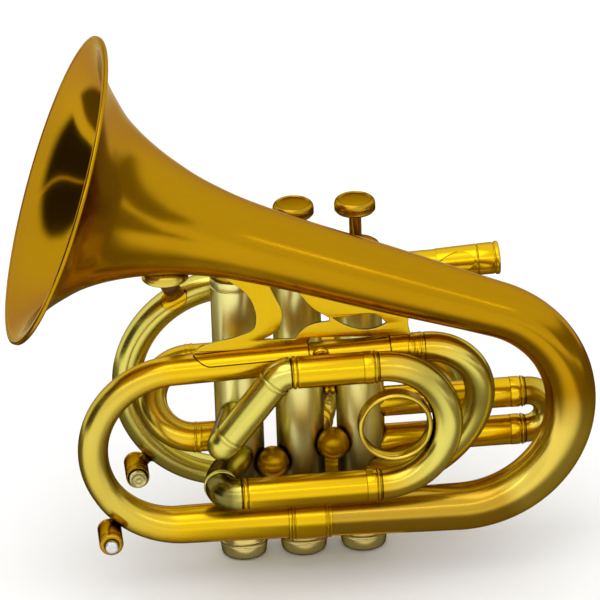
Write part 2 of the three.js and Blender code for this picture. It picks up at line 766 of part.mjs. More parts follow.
// Lower branch: from the lower sleeve round and back into valve 3
const lowerRoute = new Route(at(thirdLowerStartX - seam, thirdPlane, thirdLowerHeight), backwards, axisZ);
lowerRoute.bend(thirdElbowRadius, axisZ.clone().negate(), 90);
const lowerElbowEnd = lowerRoute.length;
const lowerTarget = portAt(valve3, thirdPortDeg, thirdLowerHeight, casingRadius * 0.8);
const lowerReach = (lowerTarget.y - lowerRoute.end.point.y) / 2;
lowerRoute.swing(lowerReach, lowerTarget, portHeading, lowerReach, 6);
const lowerOutside = [
  [0, thirdSleeveRadius],
  ...bead(lowerElbowEnd),
  [lowerRoute.length, thirdSleeveRadius],
];
const lowerBranch = solidOf(pipe(lowerRoute, lowerOutside, [[0, thirdBore], [lowerRoute.length, thirdBore]]));
piece("third_branch_lower", meetCasing(valve3, lowerBranch, lowerRoute.end, thirdBore), "bow");

// Finger ring, soldered to the inside of the slide's bow
const thirdBowRadius = (thirdUpperHeight - thirdLowerHeight) / 2;
const thirdBowTube = thirdSleeveRadius - tubeWall + seam;
const ringX = thirdSleeveEndX + bowShoulder + thirdBowRadius - thirdBowTube - seam - ringRadius;
const ringHeight = (thirdUpperHeight + thirdLowerHeight) / 2;
const ringRoute = new Route(at(ringX, thirdPlane - ringDepth / 2, ringHeight), axisY, axisX);
ringRoute.straight(ringDepth);
const ringLip = ringWall / 4;
piece("third_slide_ring", pipe(
  ringRoute,
  [
    [0, ringRadius - ringLip],
    [ringLip, ringRadius],
    [ringDepth - ringLip, ringRadius],
    [ringDepth, ringRadius - ringLip],
  ],
  even(ringRoute, ringRadius - ringWall),
  bellSides,
), "tube");

// Crossings between neighbouring casings: a ball with a bore from casing to casing
const crossings = [[valve1, valve2, firstKnuckleHeight], [valve2, valve3, secondKnuckleHeight]];
for (const [near, far, height] of crossings) {
  const middle = at((near.x + far.x) / 2, -knuckleForward, height);
  const ball = new THREE.SphereGeometry(knuckleRadius, innerSides, tubeSides);
  ball.translate(...middle);
  const reach = at(knuckleRadius + overrun, 0, 0);
  const bore = rod(knuckleBoreRadius, middle.clone().sub(reach), middle.clone().add(reach), tubeSides);
  for (const valve of [near, far]) {
    const centre = at(valve.x, 0, height);
    valve.drills.push(solidOf(rod(knuckleBoreRadius, middle, centre, tubeSides)));
  }
  const shape = cut(solidOf(ball), solidOf(bore), casingClearance(near), casingClearance(far));
  piece(`knuckle_${near.number}_${far.number}`, shape, "bell");
  const spacer = rod(spacerRadius, at(far.x, 0, spacerHeight), at(near.x, 0, spacerHeight), tubeSides);
  const fitted = cut(solidOf(spacer), casingClearance(near), casingClearance(far));
  piece(`casing_spacer_${near.number}_${far.number}`, fitted, "tube");
}

// One coil spring that stands on Z, from a lower to an upper end
function coil(radius, wire, turns, bottom, top) {
  const rise = top - bottom - 2 * wire;
  class Helix extends THREE.Curve {
    getPoint(t, target = at(0, 0, 0)) {
      const angle = 2 * Math.PI * turns * t;
      return target.set(radius * Math.cos(angle), radius * Math.sin(angle), bottom + wire + rise * t);
    }
  }
  const curve = new Helix();
  const steps = turns * coilSteps;
  const stops = Array.from({ length: steps + 1 }, (_, i) => i / steps);
  const sides = coilSides;
  const places = [];
  for (const t of stops) {
    const angle = 2 * Math.PI * turns * t;
    const out = at(Math.cos(angle), Math.sin(angle), 0);
    const centre = curve.getPoint(t);
    for (let i = 0; i < sides; i++) {
      const around = (2 * Math.PI * i) / sides;
      const p = centre.clone().addScaledVector(out, wire * Math.cos(around));
      places.push(...p.addScaledVector(axisZ, wire * Math.sin(around)));
    }
  }
  const faces = [];
  for (let ring = 0; ring < steps; ring++) {
    for (let i = 0; i < sides; i++) {
      const j = (i + 1) % sides;
      const [here, there] = [ring * sides, (ring + 1) * sides];
      faces.push(here + i, here + j, there + i, there + i, here + j, there + j);
    }
  }
  for (let i = 1; i < sides - 1; i++) {
    faces.push(0, i + 1, i);
    faces.push(steps * sides, steps * sides + i, steps * sides + i + 1);
  }
  const geometry = new THREE.BufferGeometry();
  geometry.setAttribute("position", new THREE.Float32BufferAttribute(places, 3));
  geometry.setIndex(faces);
  return geometry;
}

// The pieces of each valve
const pistonRadius = casingBore - pistonPlay;
const pistonBottom = bottomCapFloor + springSolidLength + valveTravel;
const pistonTop = topCapTop - topCapRoof - seam - feltThickness - seam;
const capBore = threadRadius + seam;
const stemBottom = pistonTop - stemSeatDepth;
const stemHole = stemRadius + seam;
const buttonBottom = buttonTop - buttonHeight;
const buttonSeat = buttonTop - buttonHeight / 3;

function casing(valve) {
  const shell = solidOf(turned([
    [threadRadius, casingBottom],
    [threadRadius, bottomCapHeight + seam],
    [casingRadius, bottomCapHeight + seam],
    [casingRadius, topCapBottom - seam],
    [threadRadius, topCapBottom - seam],
    [threadRadius, topCapBottom + threadLength],
    [casingBore, topCapBottom + threadLength],
    [casingBore, casingBottom],
  ]).translate(valve.x, 0, 0));
  return cut(shell, ...valve.drills);
}

function bottomCap() {
  return turned([
    [0, 0],
    [bottomCapFootRadius, 0],
    [capRadius - bottomCapFloor / 3, bottomCapFloor / 2],
    [capRadius, bottomCapFloor],
    [capRadius, bottomCapHeight * 0.78],
    [capNeckRadius, bottomCapHeight * 0.84],
    [capNeckRadius, bottomCapHeight],
    [capBore, bottomCapHeight],
    [capBore, bottomCapFloor],
    [0, bottomCapFloor],
  ]);
}

function topCap() {
  const rise = topCapTop - topCapBottom;
  return turned([
    [capBore, topCapBottom],
    [capNeckRadius, topCapBottom],
    [capRadius, topCapBottom + rise * 0.12],
    [capRadius, topCapBottom + rise * 0.6],
    [topCapRimRadius, topCapTop - rise * 0.1],
    [topCapRimRadius - topCapRoof / 3, topCapTop],
    [stemHole + seam, topCapTop],
    [stemHole + seam, topCapTop - topCapRoof],
    [capBore, topCapTop - topCapRoof],
  ]);
}

// The ports run through the piston: level with the crossings at rest, and with the slide when pressed
function piston(heights) {
  const body = solidOf(turned([
    [0, pistonBottom + pistonCupDepth],
    [pistonSpigotRadius, pistonBottom + pistonCupDepth],
    [pistonSpigotRadius, pistonBottom],
    [pistonRadius, pistonBottom],
    [pistonRadius, pistonTop],
    [stemHole, pistonTop],
    [stemHole, stemBottom - seam],
    [0, stemBottom - seam],
  ], innerSides));
  const ports = heights.map((height, i) => {
    const turn = radians(60 * i + 20);
    const reach = at(Math.cos(turn), Math.sin(turn), 0).multiplyScalar(pistonRadius + overrun);
    const centre = at(0, 0, height);
    return solidOf(rod(knuckleBoreRadius, centre.clone().sub(reach), centre.clone().add(reach), tubeSides));
  });
  return cut(body, ...ports);
}

const stem = () => rod(stemRadius, at(0, 0, stemBottom), at(0, 0, buttonSeat - seam), innerSides);

const felt = () => turned([
  [stemHole + seam, pistonTop + seam],
  [feltRadius, pistonTop + seam],
  [feltRadius, pistonTop + seam + feltThickness - seam],
  [stemHole + seam, pistonTop + seam + feltThickness - seam],
], innerSides);

const button = () => turned([
  [stemHole, buttonBottom],
  [buttonRadius * 0.45, buttonBottom],
  [buttonRadius * 0.9, buttonBottom + buttonHeight * 0.22],
  [buttonRadius, buttonBottom + buttonHeight * 0.42],
  [buttonRadius, buttonTop - buttonHeight * 0.14],
  [buttonRadius * 0.93, buttonTop],
  [buttonRadius * 0.82, buttonTop - buttonDish],
  [0, buttonTop - buttonDish],
  [0, buttonSeat],
  [stemHole, buttonSeat],
]);

const portHeights = {
  1: [firstKnuckleHeight, firstUpperHeight + valveTravel, elbowPortHeight],
  2: [firstKnuckleHeight, secondUpperHeight + valveTravel + tubeWall, pistonBottom + pistonCupDepth * 2],
  3: [inletHeight, thirdUpperPortHeight + valveTravel, secondKnuckleHeight - tubeWall * 2],
};
const springTop = pistonBottom + pistonCupDepth - seam;
for (const valve of valves) {
  const parts = {
    casing: [casing(valve), "casing", true],
    top_cap: [topCap(), "cap"],
    bottom_cap: [bottomCap(), "cap"],
    piston: [piston(portHeights[valve.number]), "piston"],
    felt: [felt(), "felt"],
    stem: [stem(), "cap"],
    button: [button(), "cap"],
    spring: [coil(springRadius, springWireRadius, springTurns, bottomCapFloor + seam, springTop), "steel"],
  };
  for (const [name, [shape, finish, placed]] of Object.entries(parts)) {
    const mesh = piece(`${valve.name}_${name}`, shape, finish);
    if (!placed) mesh.position.x = valve.x;
  }
}

// Brace plate: an open scroll between the bell and the top run, with feet that clasp the top run
const plateFootHeight = topRunStart.z + plateFootRise;
const onPlate = (shares) =>
  shares.map(([u, v]) => [plateLeftX + u * plateLength, plateFootHeight + v * plateHeight]);
const plateShares = [
  [0, 0.12], [0.03, 0.16], [0.09, 0.185], [0.21, 0.23], [0.27, 0.28], [0.283, 0.36],
  [0.278, 0.45], [0.245, 0.58], [0.17, 0.7], [0.1, 0.8], [0.1, 0.95], [0.9, 0.62],
  [0.985, 0.4], [0.972, 0.3], [0.968, 0.22], [0.975, 0.16], [0.98, 0.12], [0.9, 0.06],
  [0.865, 0.135], [0.7, 0.155], [0.527, 0.172], [0.5, 0.08],
];
const eyeShares = [
  [0.335, 0.62], [0.375, 0.53], [0.4, 0.42], [0.393, 0.31], [0.355, 0.225], [0.3, 0.18],
  [0.455, 0.17], [0.487, 0.24], [0.535, 0.285], [0.612, 0.3], [0.612, 0.33], [0.54, 0.42],
  [0.49, 0.53], [0.46, 0.66],
];
const leafShares = [
  [0.628, 0.33], [0.655, 0.29], [0.7, 0.245], [0.76, 0.21], [0.82, 0.215], [0.87, 0.25],
  [0.825, 0.325], [0.77, 0.345], [0.68, 0.325],
];
const leftFootShares = [
  [0, 0.12], [0.012, 0.09], [0.04, 0.07], [0.1, 0.07], [0.5, 0.06], [0.515, 0.1], [0.515, 0.2], [0.1, 0.3],
];
const rightFootShares = [[0.895, 0.2], [0.895, 0.02], [0.97, 0.02], [0.98, 0.06], [0.98, 0.16], [0.975, 0.2]];

const topRunCore = solidOf(rod(tailRadius + seam, topRunStart, tailRoute.end.point));
const topRunShell = solidOf(rod(tailRadius + seam + footShell, topRunStart, tailRoute.end.point));
const bellSolidRoute = new Route(rimCentre, bellHeading, axisY).straight(bellStemLength);
const grown = bellOutside.slice(2).filter(([d]) => d < bellStemLength).map(([d, r]) => [d, r + seam]);
const bellEnd = bellOutside.find(([d]) => d >= bellStemLength);
const bellProfile = [
  [0, 0],
  [bellRimRadius + seam, 0],
  ...grown.map(([d, r]) => [r, d]),
  [bellEnd[1] + seam, bellStemLength],
  [0, bellStemLength],
];
const bellCore = solidOf(pointed(turned(bellProfile, bellSides), bellSolidRoute.start.point, bellHeading));
const halfPlate = plateThickness / 2;
const scrolls = [onPlate(eyeShares), onPlate(leafShares)];
const web = plateSolid(onPlate(plateShares), scrolls, bellPlane - halfPlate, bellPlane + halfPlate);
const feet = [leftFootShares, rightFootShares].map((shares) => {
  const frontHalf = plateSolid(onPlate(shares), [], bellPlane - casingRadius, bellPlane + halfPlate);
  return frontHalf.intersect(topRunShell);
});
piece("bell_brace", cut(joined(web, ...feet), topRunCore, bellCore), "tube");

// Stay from the bell's underside to the front bow
const bellAxisAtBoss = bellAxisHeight - stayBossX * Math.tan(pitch);
const bossCentre = at(stayBossX, bellPlane, bellAxisAtBoss - stayBossDrop);
const bossTop = bossCentre.clone().addScaledVector(axisZ, stayBossThickness * 4);
const bossFoot = bossCentre.clone().addScaledVector(axisZ, -stayBossThickness / 3);
const boss = rod(stayBossRadius, bossCentre, bossTop);
const bossLip = rod(stayBossRadius * 0.8, bossFoot, bossCentre);
const footAngle = Math.acos((frontBowX - stayFootX) / frontBowRadius);
const footPoint = at(stayFootX, backPlane, frontBowHeight + frontBowRadius * Math.sin(footAngle));
const bowTangent = at(Math.sin(footAngle), 0, Math.cos(footAngle));
const padFrom = footPoint.clone().addScaledVector(bowTangent, -stayFootWidth / 2);
const padTo = footPoint.clone().addScaledVector(bowTangent, stayFootWidth / 2);
const pad = solidOf(rod(frontTubeRadius + seam + footShell * 1.4, padFrom, padTo));
const padFront = footPoint.clone().add(at(0, -stayFootWidth, stayFootWidth));
const padHalf = solidOf(rod(stayFootWidth / 2, padFront, footPoint));
const stayRod = rod(stayRodRadius, bossCentre, footPoint, tubeSides);
const stayBody = joined(solidOf(boss), solidOf(bossLip), solidOf(stayRod), pad.intersect(padHalf));
piece("bell_stay", cut(stayBody, bellCore, clearance(frontRoute, frontOutside)), "tube");

// Short post between the third slide's upper sleeve and the top run
const slideStayHeight = thirdUpperHeight + slideStayRise;
const postFrom = at(slideStayX, thirdPlane, slideStayHeight);
const postTo = at(slideStayX, bellPlane, slideStayHeight);
const sleeveClear = rod(
  thirdSleeveRadius + seam,
  at(thirdUpperStartX, thirdPlane, thirdUpperHeight),
  at(thirdSleeveEndX, thirdPlane, thirdUpperHeight),
);
const post = solidOf(rod(slideStayRadius, postFrom, postTo, tubeSides));
piece("third_slide_stay", cut(post, solidOf(sleeveClear), topRunCore), "tube");

// A water key beside a bow, with a short neck to it
function waterKey(name, centre, bow, pushRadius, finish) {
  const bore = keyRadius - keyWall;
  const lip = pushRadius + seam;
  const front = keyLength / 2;
  const turn = (shape) => pointed(shape, centre, axisY.clone().negate());
  const body = solidOf(turn(turned([
    [0, -front],
    [keyRadius - keyWall / 2, -front],
    [keyRadius, -front + keyWall / 2],
    [keyRadius, front - keyWall * 1.5],
    [lip + keyWall, front],
    [lip, front],
    [lip, front - keyWall],
    [bore, front - keyWall],
    [bore, -front + keyWall],
    [0, -front + keyWall],
  ])));
  const outwards = centre.clone().sub(bow.centre).setY(0).normalize();
  const root = bow.centre.clone().addScaledVector(outwards, bow.radius);
  const neck = solidOf(rod(keyNeckRadius, root, at(centre.x, root.y, centre.z), tubeSides));
  const hollow = solidOf(turn(rod(keyRadius - keyWall / 2, at(0, 0, -front), at(0, 0, front))));
  piece(`${name}_body`, cut(joined(body, cut(neck, hollow)), clearance(bow.route, bow.outside)), "cap");
  const stop = front - keyWall - seam;
  piece(`${name}_button`, turn(turned([
    [0, stop - keyPlungerLength],
    [bore - seam, stop - keyPlungerLength],
    [bore - seam, stop],
    [pushRadius, stop],
    [pushRadius, front + keyTravel],
    [pushRadius * 0.7, front + keyTravel + keyWall / 2],
    [0, front + keyTravel + keyWall / 2],
  ], innerSides)), finish);
  const springEnd = stop - keyPlungerLength - seam;
  const springStart = -front + keyWall + seam + keyTravel;
  const spring = coil(bore - seam * 3, keySpringWireRadius, keySpringTurns, springStart, springEnd);
  piece(`${name}_spring`, turn(spring), "steel");
}

const besideBow = (bow, offset, degrees, forward) =>
  bow.centre.clone().add(at(
    (bow.radius + offset) * Math.cos(radians(degrees)),
    -forward,
    (bow.radius + offset) * Math.sin(radians(degrees)),
  ));
const frontKeyDeg = 222.7;
const frontKeyBow = {
  centre: at(frontBowX, backPlane, frontBowHeight),
  radius: frontBowRadius,
  route: frontRoute,
  outside: frontOutside,
};
const frontKeyPlace = besideBow(frontKeyBow, keyOffset, frontKeyDeg, keyForward);
waterKey("front_water_key", frontKeyPlace, frontKeyBow, frontKeyCapRadius, "cap");
const bellKeyDeg = 229.6;
const bellKeyBow = {
  centre: at(tailBowX, bellPlane, topRunStart.z - tailBowRadius),
  radius: tailBowRadius,
  route: tailRoute,
  outside: tailOutside,
};
const bellKeyPlace = besideBow(bellKeyBow, bellKeyOffset, bellKeyDeg, bellKeyForward);
waterKey("bell_water_key", bellKeyPlace, bellKeyBow, bellKeyCapRadius, "nickel");

export default group;
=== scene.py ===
# %% [markdown]
# # A brass pocket trumpet
# A pocket trumpet is a full length of trumpet tubing wound into a very short loop. This lesson dresses
# the packed CAD model: each tube, cap and ring of the frame is replaced by a finer one, made at its
# real place, and then everything gets its brass. We start by loading the frame, because every piece
# sits where the frame says.

# %% Load the frame
import json
import math

import bpy
from mathutils import Matrix, Vector


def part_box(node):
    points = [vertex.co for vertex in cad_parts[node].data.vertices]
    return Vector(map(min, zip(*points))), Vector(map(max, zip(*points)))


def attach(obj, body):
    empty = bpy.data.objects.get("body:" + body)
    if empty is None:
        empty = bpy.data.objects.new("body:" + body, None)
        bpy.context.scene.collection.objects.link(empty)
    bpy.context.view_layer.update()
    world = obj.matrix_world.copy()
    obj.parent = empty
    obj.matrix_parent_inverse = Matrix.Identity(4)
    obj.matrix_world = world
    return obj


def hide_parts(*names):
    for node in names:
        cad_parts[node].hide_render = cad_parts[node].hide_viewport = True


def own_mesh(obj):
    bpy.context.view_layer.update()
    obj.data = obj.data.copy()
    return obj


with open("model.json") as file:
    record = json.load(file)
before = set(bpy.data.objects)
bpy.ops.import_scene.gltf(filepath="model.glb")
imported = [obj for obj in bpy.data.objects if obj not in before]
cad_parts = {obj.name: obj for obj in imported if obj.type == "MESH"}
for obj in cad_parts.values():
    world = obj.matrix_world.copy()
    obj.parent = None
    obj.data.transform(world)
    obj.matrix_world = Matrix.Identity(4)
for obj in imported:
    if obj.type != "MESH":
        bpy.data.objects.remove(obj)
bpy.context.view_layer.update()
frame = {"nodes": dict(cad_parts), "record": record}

print("CAD nodes:", len(frame["nodes"]))

# %% [markdown]
# The packed record says which body each node moves with and which finish it has. Two small tables
# made from it let us hand every new piece over with one call, so no piece can ride on the wrong body.
# Lengths in this lesson are millimetres, as on a workshop drawing, and become metres when a mesh is made.

# %% Bodies, finishes and directions
MM = 0.001
ACROSS, BACK, UP = Vector((1, 0, 0)), Vector((0, 1, 0)), Vector((0, 0, 1))
RECORD = frame["record"]
BODY_OF = {node: body for body, nodes in RECORD["behaviour"]["bodies"].items() for node in nodes}
SLOT_OF = {part["node"]: part["material_slot"] for part in RECORD["subparts"]}
MADE = []


def start_fresh():
    """Nothing selected and nothing in edit mode, so an operator acts on the new piece alone"""
    if bpy.context.object and bpy.context.object.mode != "OBJECT":
        bpy.ops.object.mode_set(mode="OBJECT")
    bpy.ops.object.select_all(action="DESELECT")


def hand_over(piece, node):
    """The piece stands for the CAD node, moves with its body and takes its finish"""
    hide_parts(node)
    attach(piece, BODY_OF[node])
    MADE.append((piece, SLOT_OF[node]))
    return piece


# %% [markdown]
# Brass tubing runs in straights and bends. A tube could be made by extruding a circle again and again,
# but a centre line is easier to think about: we write down straights, bends and free swings, and let a
# curve with a round bevel follow them. The route below keeps its points and their headings.

# %% The centre line of a tube
class Route:
    """Points and headings in millimetres along the middle of a tube"""

    def __init__(self, start, heading):
        self.points = [Vector(start)]
        self.headings = [Vector(heading).normalized()]
        self.distances = [0.0]

    def add(self, point, heading):
        self.distances.append(self.distances[-1] + (point - self.points[-1]).length)
        self.points.append(point)
        self.headings.append(heading)

    def straight(self, length, steps=1):
        start, heading = self.points[-1], self.headings[-1]
        for step in range(1, steps + 1):
            self.add(start + heading * (length * step / steps), heading.copy())
        return self

    def bend(self, radius, axis, degrees, step=4):
        """Turns by the right-hand rule about an axis that is square to the tube"""
        start, heading = self.points[-1], self.headings[-1]
        centre = start + axis.cross(heading) * radius
        steps = math.ceil(degrees / step)
        for count in range(1, steps + 1):
            turn = math.radians(degrees * count / steps)
            arm = start - centre
            place = centre + arm * math.cos(turn) + axis.cross(arm) * math.sin(turn)
            self.add(place, heading * math.cos(turn) + axis.cross(heading) * math.sin(turn))
        return self

    def swing(self, reach_out, target, heading, reach_in, steps=28):
        """Runs freely to a target, as a Bezier curve with a handle at each end"""
        start, first, last = self.points[-1], self.headings[-1], Vector(heading).normalized()
        target = Vector(target)
        handles = [start, start + first * reach_out, target - last * reach_in, target]
        for count in range(1, steps + 1):
            t = count / steps
            weights = [(1 - t) ** 3, 3 * t * (1 - t) ** 2, 3 * t * t * (1 - t), t ** 3]
            slopes = [-((1 - t) ** 2), (1 - t) * (1 - 3 * t), t * (2 - 3 * t), t * t]
            place = sum((p * w for p, w in zip(handles, weights)), Vector())
            self.add(place, sum((p * w for p, w in zip(handles, slopes)), Vector()).normalized())
        return self

    @property
    def length(self):
        return self.distances[-1]

    @property
    def end(self):
        return self.points[-1].copy()

    def at(self, distance):
        """The point and heading at a distance along the route"""
        for i in range(1, len(self.distances)):
            if distance <= self.distances[i] or i == len(self.distances) - 1:
                step = self.distances[i] - self.distances[i - 1]
                share = (distance - self.distances[i - 1]) / step
                heading = self.headings[i - 1].lerp(self.headings[i], share).normalized()
                return self.points[i - 1].lerp(self.points[i], share), heading


print("a route has", [name for name in vars(Route) if not name.startswith("_")])

# %% [markdown]
# Many things change along a tube: its width on the taper of the bell, its tarnish, its tone. We write such
# a change as pairs of distance and value. One helper reads straight lines between the pairs, the other a
# smooth line, because a flare with corners in its outline would show them as rings.

# %% Values between given pairs
def linear(pairs):
    """Reads a value between [distance, value] pairs"""
    def read(distance):
        if distance <= pairs[0][0]:
            return pairs[0][1]
        for (d0, v0), (d1, v1) in zip(pairs, pairs[1:]):
            if distance <= d1:
                return v0 + (v1 - v0) * (distance - d0) / (d1 - d0) if d1 > d0 else v1
        return pairs[-1][1]
    return read


def smooth(pairs):
    """The same along a smooth line that never overshoots its pairs"""
    slopes = [(v1 - v0) / (d1 - d0) for (d0, v0), (d1, v1) in zip(pairs, pairs[1:])]
    inner = [0 if a * b <= 0 else 2 * a * b / (a + b) for a, b in zip(slopes, slopes[1:])]
    tangents = [slopes[0], *inner, slopes[-1]]

    def read(distance):
        if distance <= pairs[0][0]:
            return pairs[0][1]
        for i, ((d0, v0), (d1, v1)) in enumerate(zip(pairs, pairs[1:])):
            if distance <= d1:
                span = d1 - d0
                t = (distance - d0) / span
                leaving = tangents[i] * span * (t ** 3 - 2 * t * t + t)
                arriving = tangents[i + 1] * span * (t ** 3 - t * t)
                between = v0 * (2 * t ** 3 - 3 * t * t + 1) + v1 * (3 * t * t - 2 * t ** 3)
                return between + (leaving + arriving)
        return pairs[-1][1]
    return read


print("halfway between 2 and 4:", linear([[0, 2], [1, 4]])(0.5))

# %% [markdown]
# Every piece passes through the same few hands: it is taken up alone, gets a modifier applied, and is
# shaded smooth with crisp edges. It is also marked for its finish. A mark is a number or a vector on each
# point of the mesh, and the finishes at the end read them: pulled_straight for the brushing,
# steep for a painted paler reflection, grime for dark solder and for painted
# shade, and polish for gloss.

# %% Helpers for one piece
def take_up(piece):
    """Selects one piece alone, for the operator that comes next"""
    start_fresh()
    piece.select_set(True)
    bpy.context.view_layer.objects.active = piece


def finish_mesh(piece, name, angle=32):
    """Smooth shading with crisp edges, and the piece's name on object and mesh"""
    take_up(piece)
    bpy.ops.object.shade_smooth_by_angle(angle=math.radians(angle))
    piece.name = piece.data.name = name
    return piece


def apply_modifier(piece, kind, **settings):
    take_up(piece)
    modifier = piece.modifiers.new(kind.title(), kind)
    for key, value in settings.items():
        setattr(modifier, key, value)
    bpy.ops.object.modifier_apply(modifier=modifier.name)


def close_seams():
    """Merges points that lie on each other and turns the faces of the active piece outwards"""
    bpy.ops.object.mode_set(mode="EDIT")
    bpy.ops.mesh.select_all(action="SELECT")
    bpy.ops.mesh.remove_doubles(threshold=1e-6)
    bpy.ops.mesh.normals_make_consistent(inside=False)
    bpy.ops.object.mode_set(mode="OBJECT")


def mark(piece, name, value_of, kind="FLOAT"):
    """Writes on each point what value_of gives for it, for a finish to read"""
    attributes = piece.data.attributes
    if name not in attributes:
        attributes.new(name, kind, "POINT")
    field = "vector" if kind == "FLOAT_VECTOR" else "value"
    for vertex, point in zip(piece.data.vertices, attributes[name].data):
        setattr(point, field, value_of(vertex))
    return piece


def join(piece, *others):
    """Solders more pieces to the first and keeps its name"""
    name = piece.name
    take_up(piece)
    for other in others:
        other.select_set(True)
    bpy.ops.object.join()
    piece.name = piece.data.name = name
    return piece


print("marks: pulled_straight, steep, grime, polish")

# %% [markdown]
# A swept tube is a curve with a round bevel, turned into a mesh, whose wall comes from Solidify. Brass is
# brushed along its tubes, so a pattern has to follow the bends. For that each point remembers where it
# would lie if the tube were pulled straight. How upright the tube runs there is marked as a painted paler
# reflection. Where painted shade or a painted paler reflection comes and goes along a tube, a second
# helper marks it by the distance.

# %% Sweep a tube along its route
TUBE_SIDES = 48
TUBE_WALL = 0.7


def round_line(points, radii, sides, capped=False):
    """A curve through points in millimetres with a round bevel, turned into a mesh"""
    start_fresh()
    bpy.ops.curve.primitive_nurbs_path_add()
    line = bpy.context.object.data
    line.splines.clear()
    spline = line.splines.new("POLY")
    spline.points.add(len(points) - 1)
    for knot, place, radius in zip(spline.points, points, radii):
        knot.co = (*(place * MM), 1)
        knot.radius = radius
    line.bevel_depth = MM
    line.bevel_resolution = (sides - 4) // 2
    line.use_fill_caps = capped
    bpy.ops.object.convert(target="MESH")
    return bpy.context.object


def sweep(name, route, radius_at, wall=TUBE_WALL, sides=TUBE_SIDES, shape=None):
    """A tube along the route; shape is a last step that moves its points"""
    tube = round_line(route.points, [radius_at(distance) for distance in route.distances], sides)
    points_round = len(tube.data.vertices) // len(route.points)

    def pulled_straight(vertex):
        ring, side = divmod(vertex.index, points_round)
        turn = math.tau * side / points_round
        reach = (vertex.co - route.points[ring] * MM).length
        return reach * math.cos(turn), reach * math.sin(turn), route.distances[ring] * MM

    mark(tube, "pulled_straight", pulled_straight, "FLOAT_VECTOR")
    # Painted reflection: the more upright the tube runs, the paler its tone.
    mark(tube, "steep", lambda vertex: min(1, abs(route.headings[vertex.index // points_round].z) * 1.15))
    apply_modifier(tube, "SOLIDIFY", thickness=wall * MM, offset=-1)
    if shape:
        shape(tube)
    return finish_mesh(tube, name)


def mark_along(piece, name, value_at):
    """Marks a swept piece with values that follow its distance along the route"""
    distances = [point.vector.z / MM for point in piece.data.attributes["pulled_straight"].data]
    return mark(piece, name, lambda vertex: value_at(distances[vertex.index]))


print("sides of a tube:", TUBE_SIDES, "wall:", TUBE_WALL, "mm")

# %% [markdown]
# Caps, ferrules, buttons and rings come off a lathe. By hand one would extrude a circle and scale it, ring
# after ring, and that is just what this helper does with a list of radius and height pairs. A radius of
# nought closes the end at the middle. A small bevel on every turned corner catches the light, as on real
# turned brass.

# %% Turn a piece on the lathe
TURNED_SIDES = 72


def turned(name, profile, foot, axis=UP, sides=TURNED_SIDES, edge=0.12, pale=0):
    """Profile is [radius, height] pairs in millimetres, from the foot along the axis"""
    start_fresh()
    foot, axis = Vector(foot), Vector(axis).normalized()
    stand = axis.to_track_quat("Z", "Y")
    opens_closed, ends_closed = profile[0][0] == 0, profile[-1][0] == 0
    body = profile[1 if opens_closed else 0:-1 if ends_closed else None]
    radius, height = body[0]
    bpy.ops.mesh.primitive_circle_add(
        vertices=sides, radius=radius * MM, location=(foot + axis * height) * MM,
        rotation=stand.to_euler())
    piece = bpy.context.object
    bpy.ops.object.mode_set(mode="EDIT")
    for (radius, height), (next_radius, next_height) in zip(body, body[1:]):
        step = axis * ((next_height - height) * MM)
        bpy.ops.mesh.extrude_edges_move(TRANSFORM_OT_translate={"value": step})
        if abs(next_radius - radius) > 1e-6:
            share, centre = next_radius / radius, (foot + axis * next_height) * MM
            bpy.ops.transform.resize(value=(share,) * 3, center_override=centre)
    if ends_closed:
        rise = profile[-1][1] - body[-1][1]
        bpy.ops.mesh.extrude_edges_move(TRANSFORM_OT_translate={"value": axis * (rise * MM)})
        bpy.ops.mesh.merge(type="CENTER")
    bpy.ops.object.mode_set(mode="OBJECT")
    bpy.ops.object.transform_apply(location=True, rotation=True, scale=True)
    if opens_closed:
        for vertex in piece.data.vertices:
            vertex.select = vertex.index < sides
        for line in piece.data.edges:
            line.select = all(index < sides for index in line.vertices)
        for face in piece.data.polygons:
            face.select = False
        bpy.ops.object.mode_set(mode="EDIT")
        drop = profile[0][1] - body[0][1]
        bpy.ops.mesh.extrude_edges_move(TRANSFORM_OT_translate={"value": axis * (drop * MM)})
        bpy.ops.mesh.merge(type="CENTER")
        bpy.ops.object.mode_set(mode="OBJECT")
    close_seams()
    if edge:
        apply_modifier(piece, "BEVEL", width=edge * MM, segments=2, limit_method="ANGLE",
                       angle_limit=math.radians(35))
    lie_down = stand.inverted()
    mark(piece, "pulled_straight", lambda vertex: lie_down @ (vertex.co - foot * MM), "FLOAT_VECTOR")
    # Painted reflection: pale gives the piece the paler tone.
    mark(piece, "steep", lambda vertex: pale)
    return finish_mesh(piece, name)


def bead(radius, start, width, proud, steps=6):
    """Profile pairs of a ring with a rounded section that stands proud by so much"""
    return [[radius + proud * math.sin(math.pi * i / steps), start + width * i / steps]
            for i in range(steps + 1)]


print("sides of a turned piece:", TURNED_SIDES)

# %% [markdown]
# Where a tube meets a valve casing its end is filed to a saddle. Points that would stick into the casing
# are pulled back along the tube until they sit inside the casing's wall, so nothing shows in the bore.

# %% Saddles at the valve casings
VALVE_SPACING = 24
CASING_RADIUS = 9.2
SADDLE_RADIUS = 8.7
VALVE_X = {1: VALVE_SPACING, 2: 0, 3: -VALVE_SPACING}


def saddle(valve, heading):
    """A shape step for sweep and turned: heading points into the casing"""
    inwards = Vector((heading[0], heading[1], 0)).normalized()
    axis = Vector((VALVE_X[valve], 0, 0))

    def fit(piece):
        for vertex in piece.data.vertices:
            flat = Vector((vertex.co.x, vertex.co.y, 0)) / MM - axis
            along = flat.dot(inwards)
            aside = (flat - inwards * along).length
            if aside < SADDLE_RADIUS:
                pull = along + math.sqrt(SADDLE_RADIUS ** 2 - aside ** 2)
                vertex.co -= inwards * (max(0, pull) * MM)
    return fit


def port(valve, degrees, height, reach):
    """A place at a reach from the valve's axis, at an angle counted from the player's side"""
    turn = math.radians(degrees)
    return Vector((VALVE_X[valve] + reach * math.cos(turn), reach * math.sin(turn), height))


print("valves stand at x =", VALVE_X)

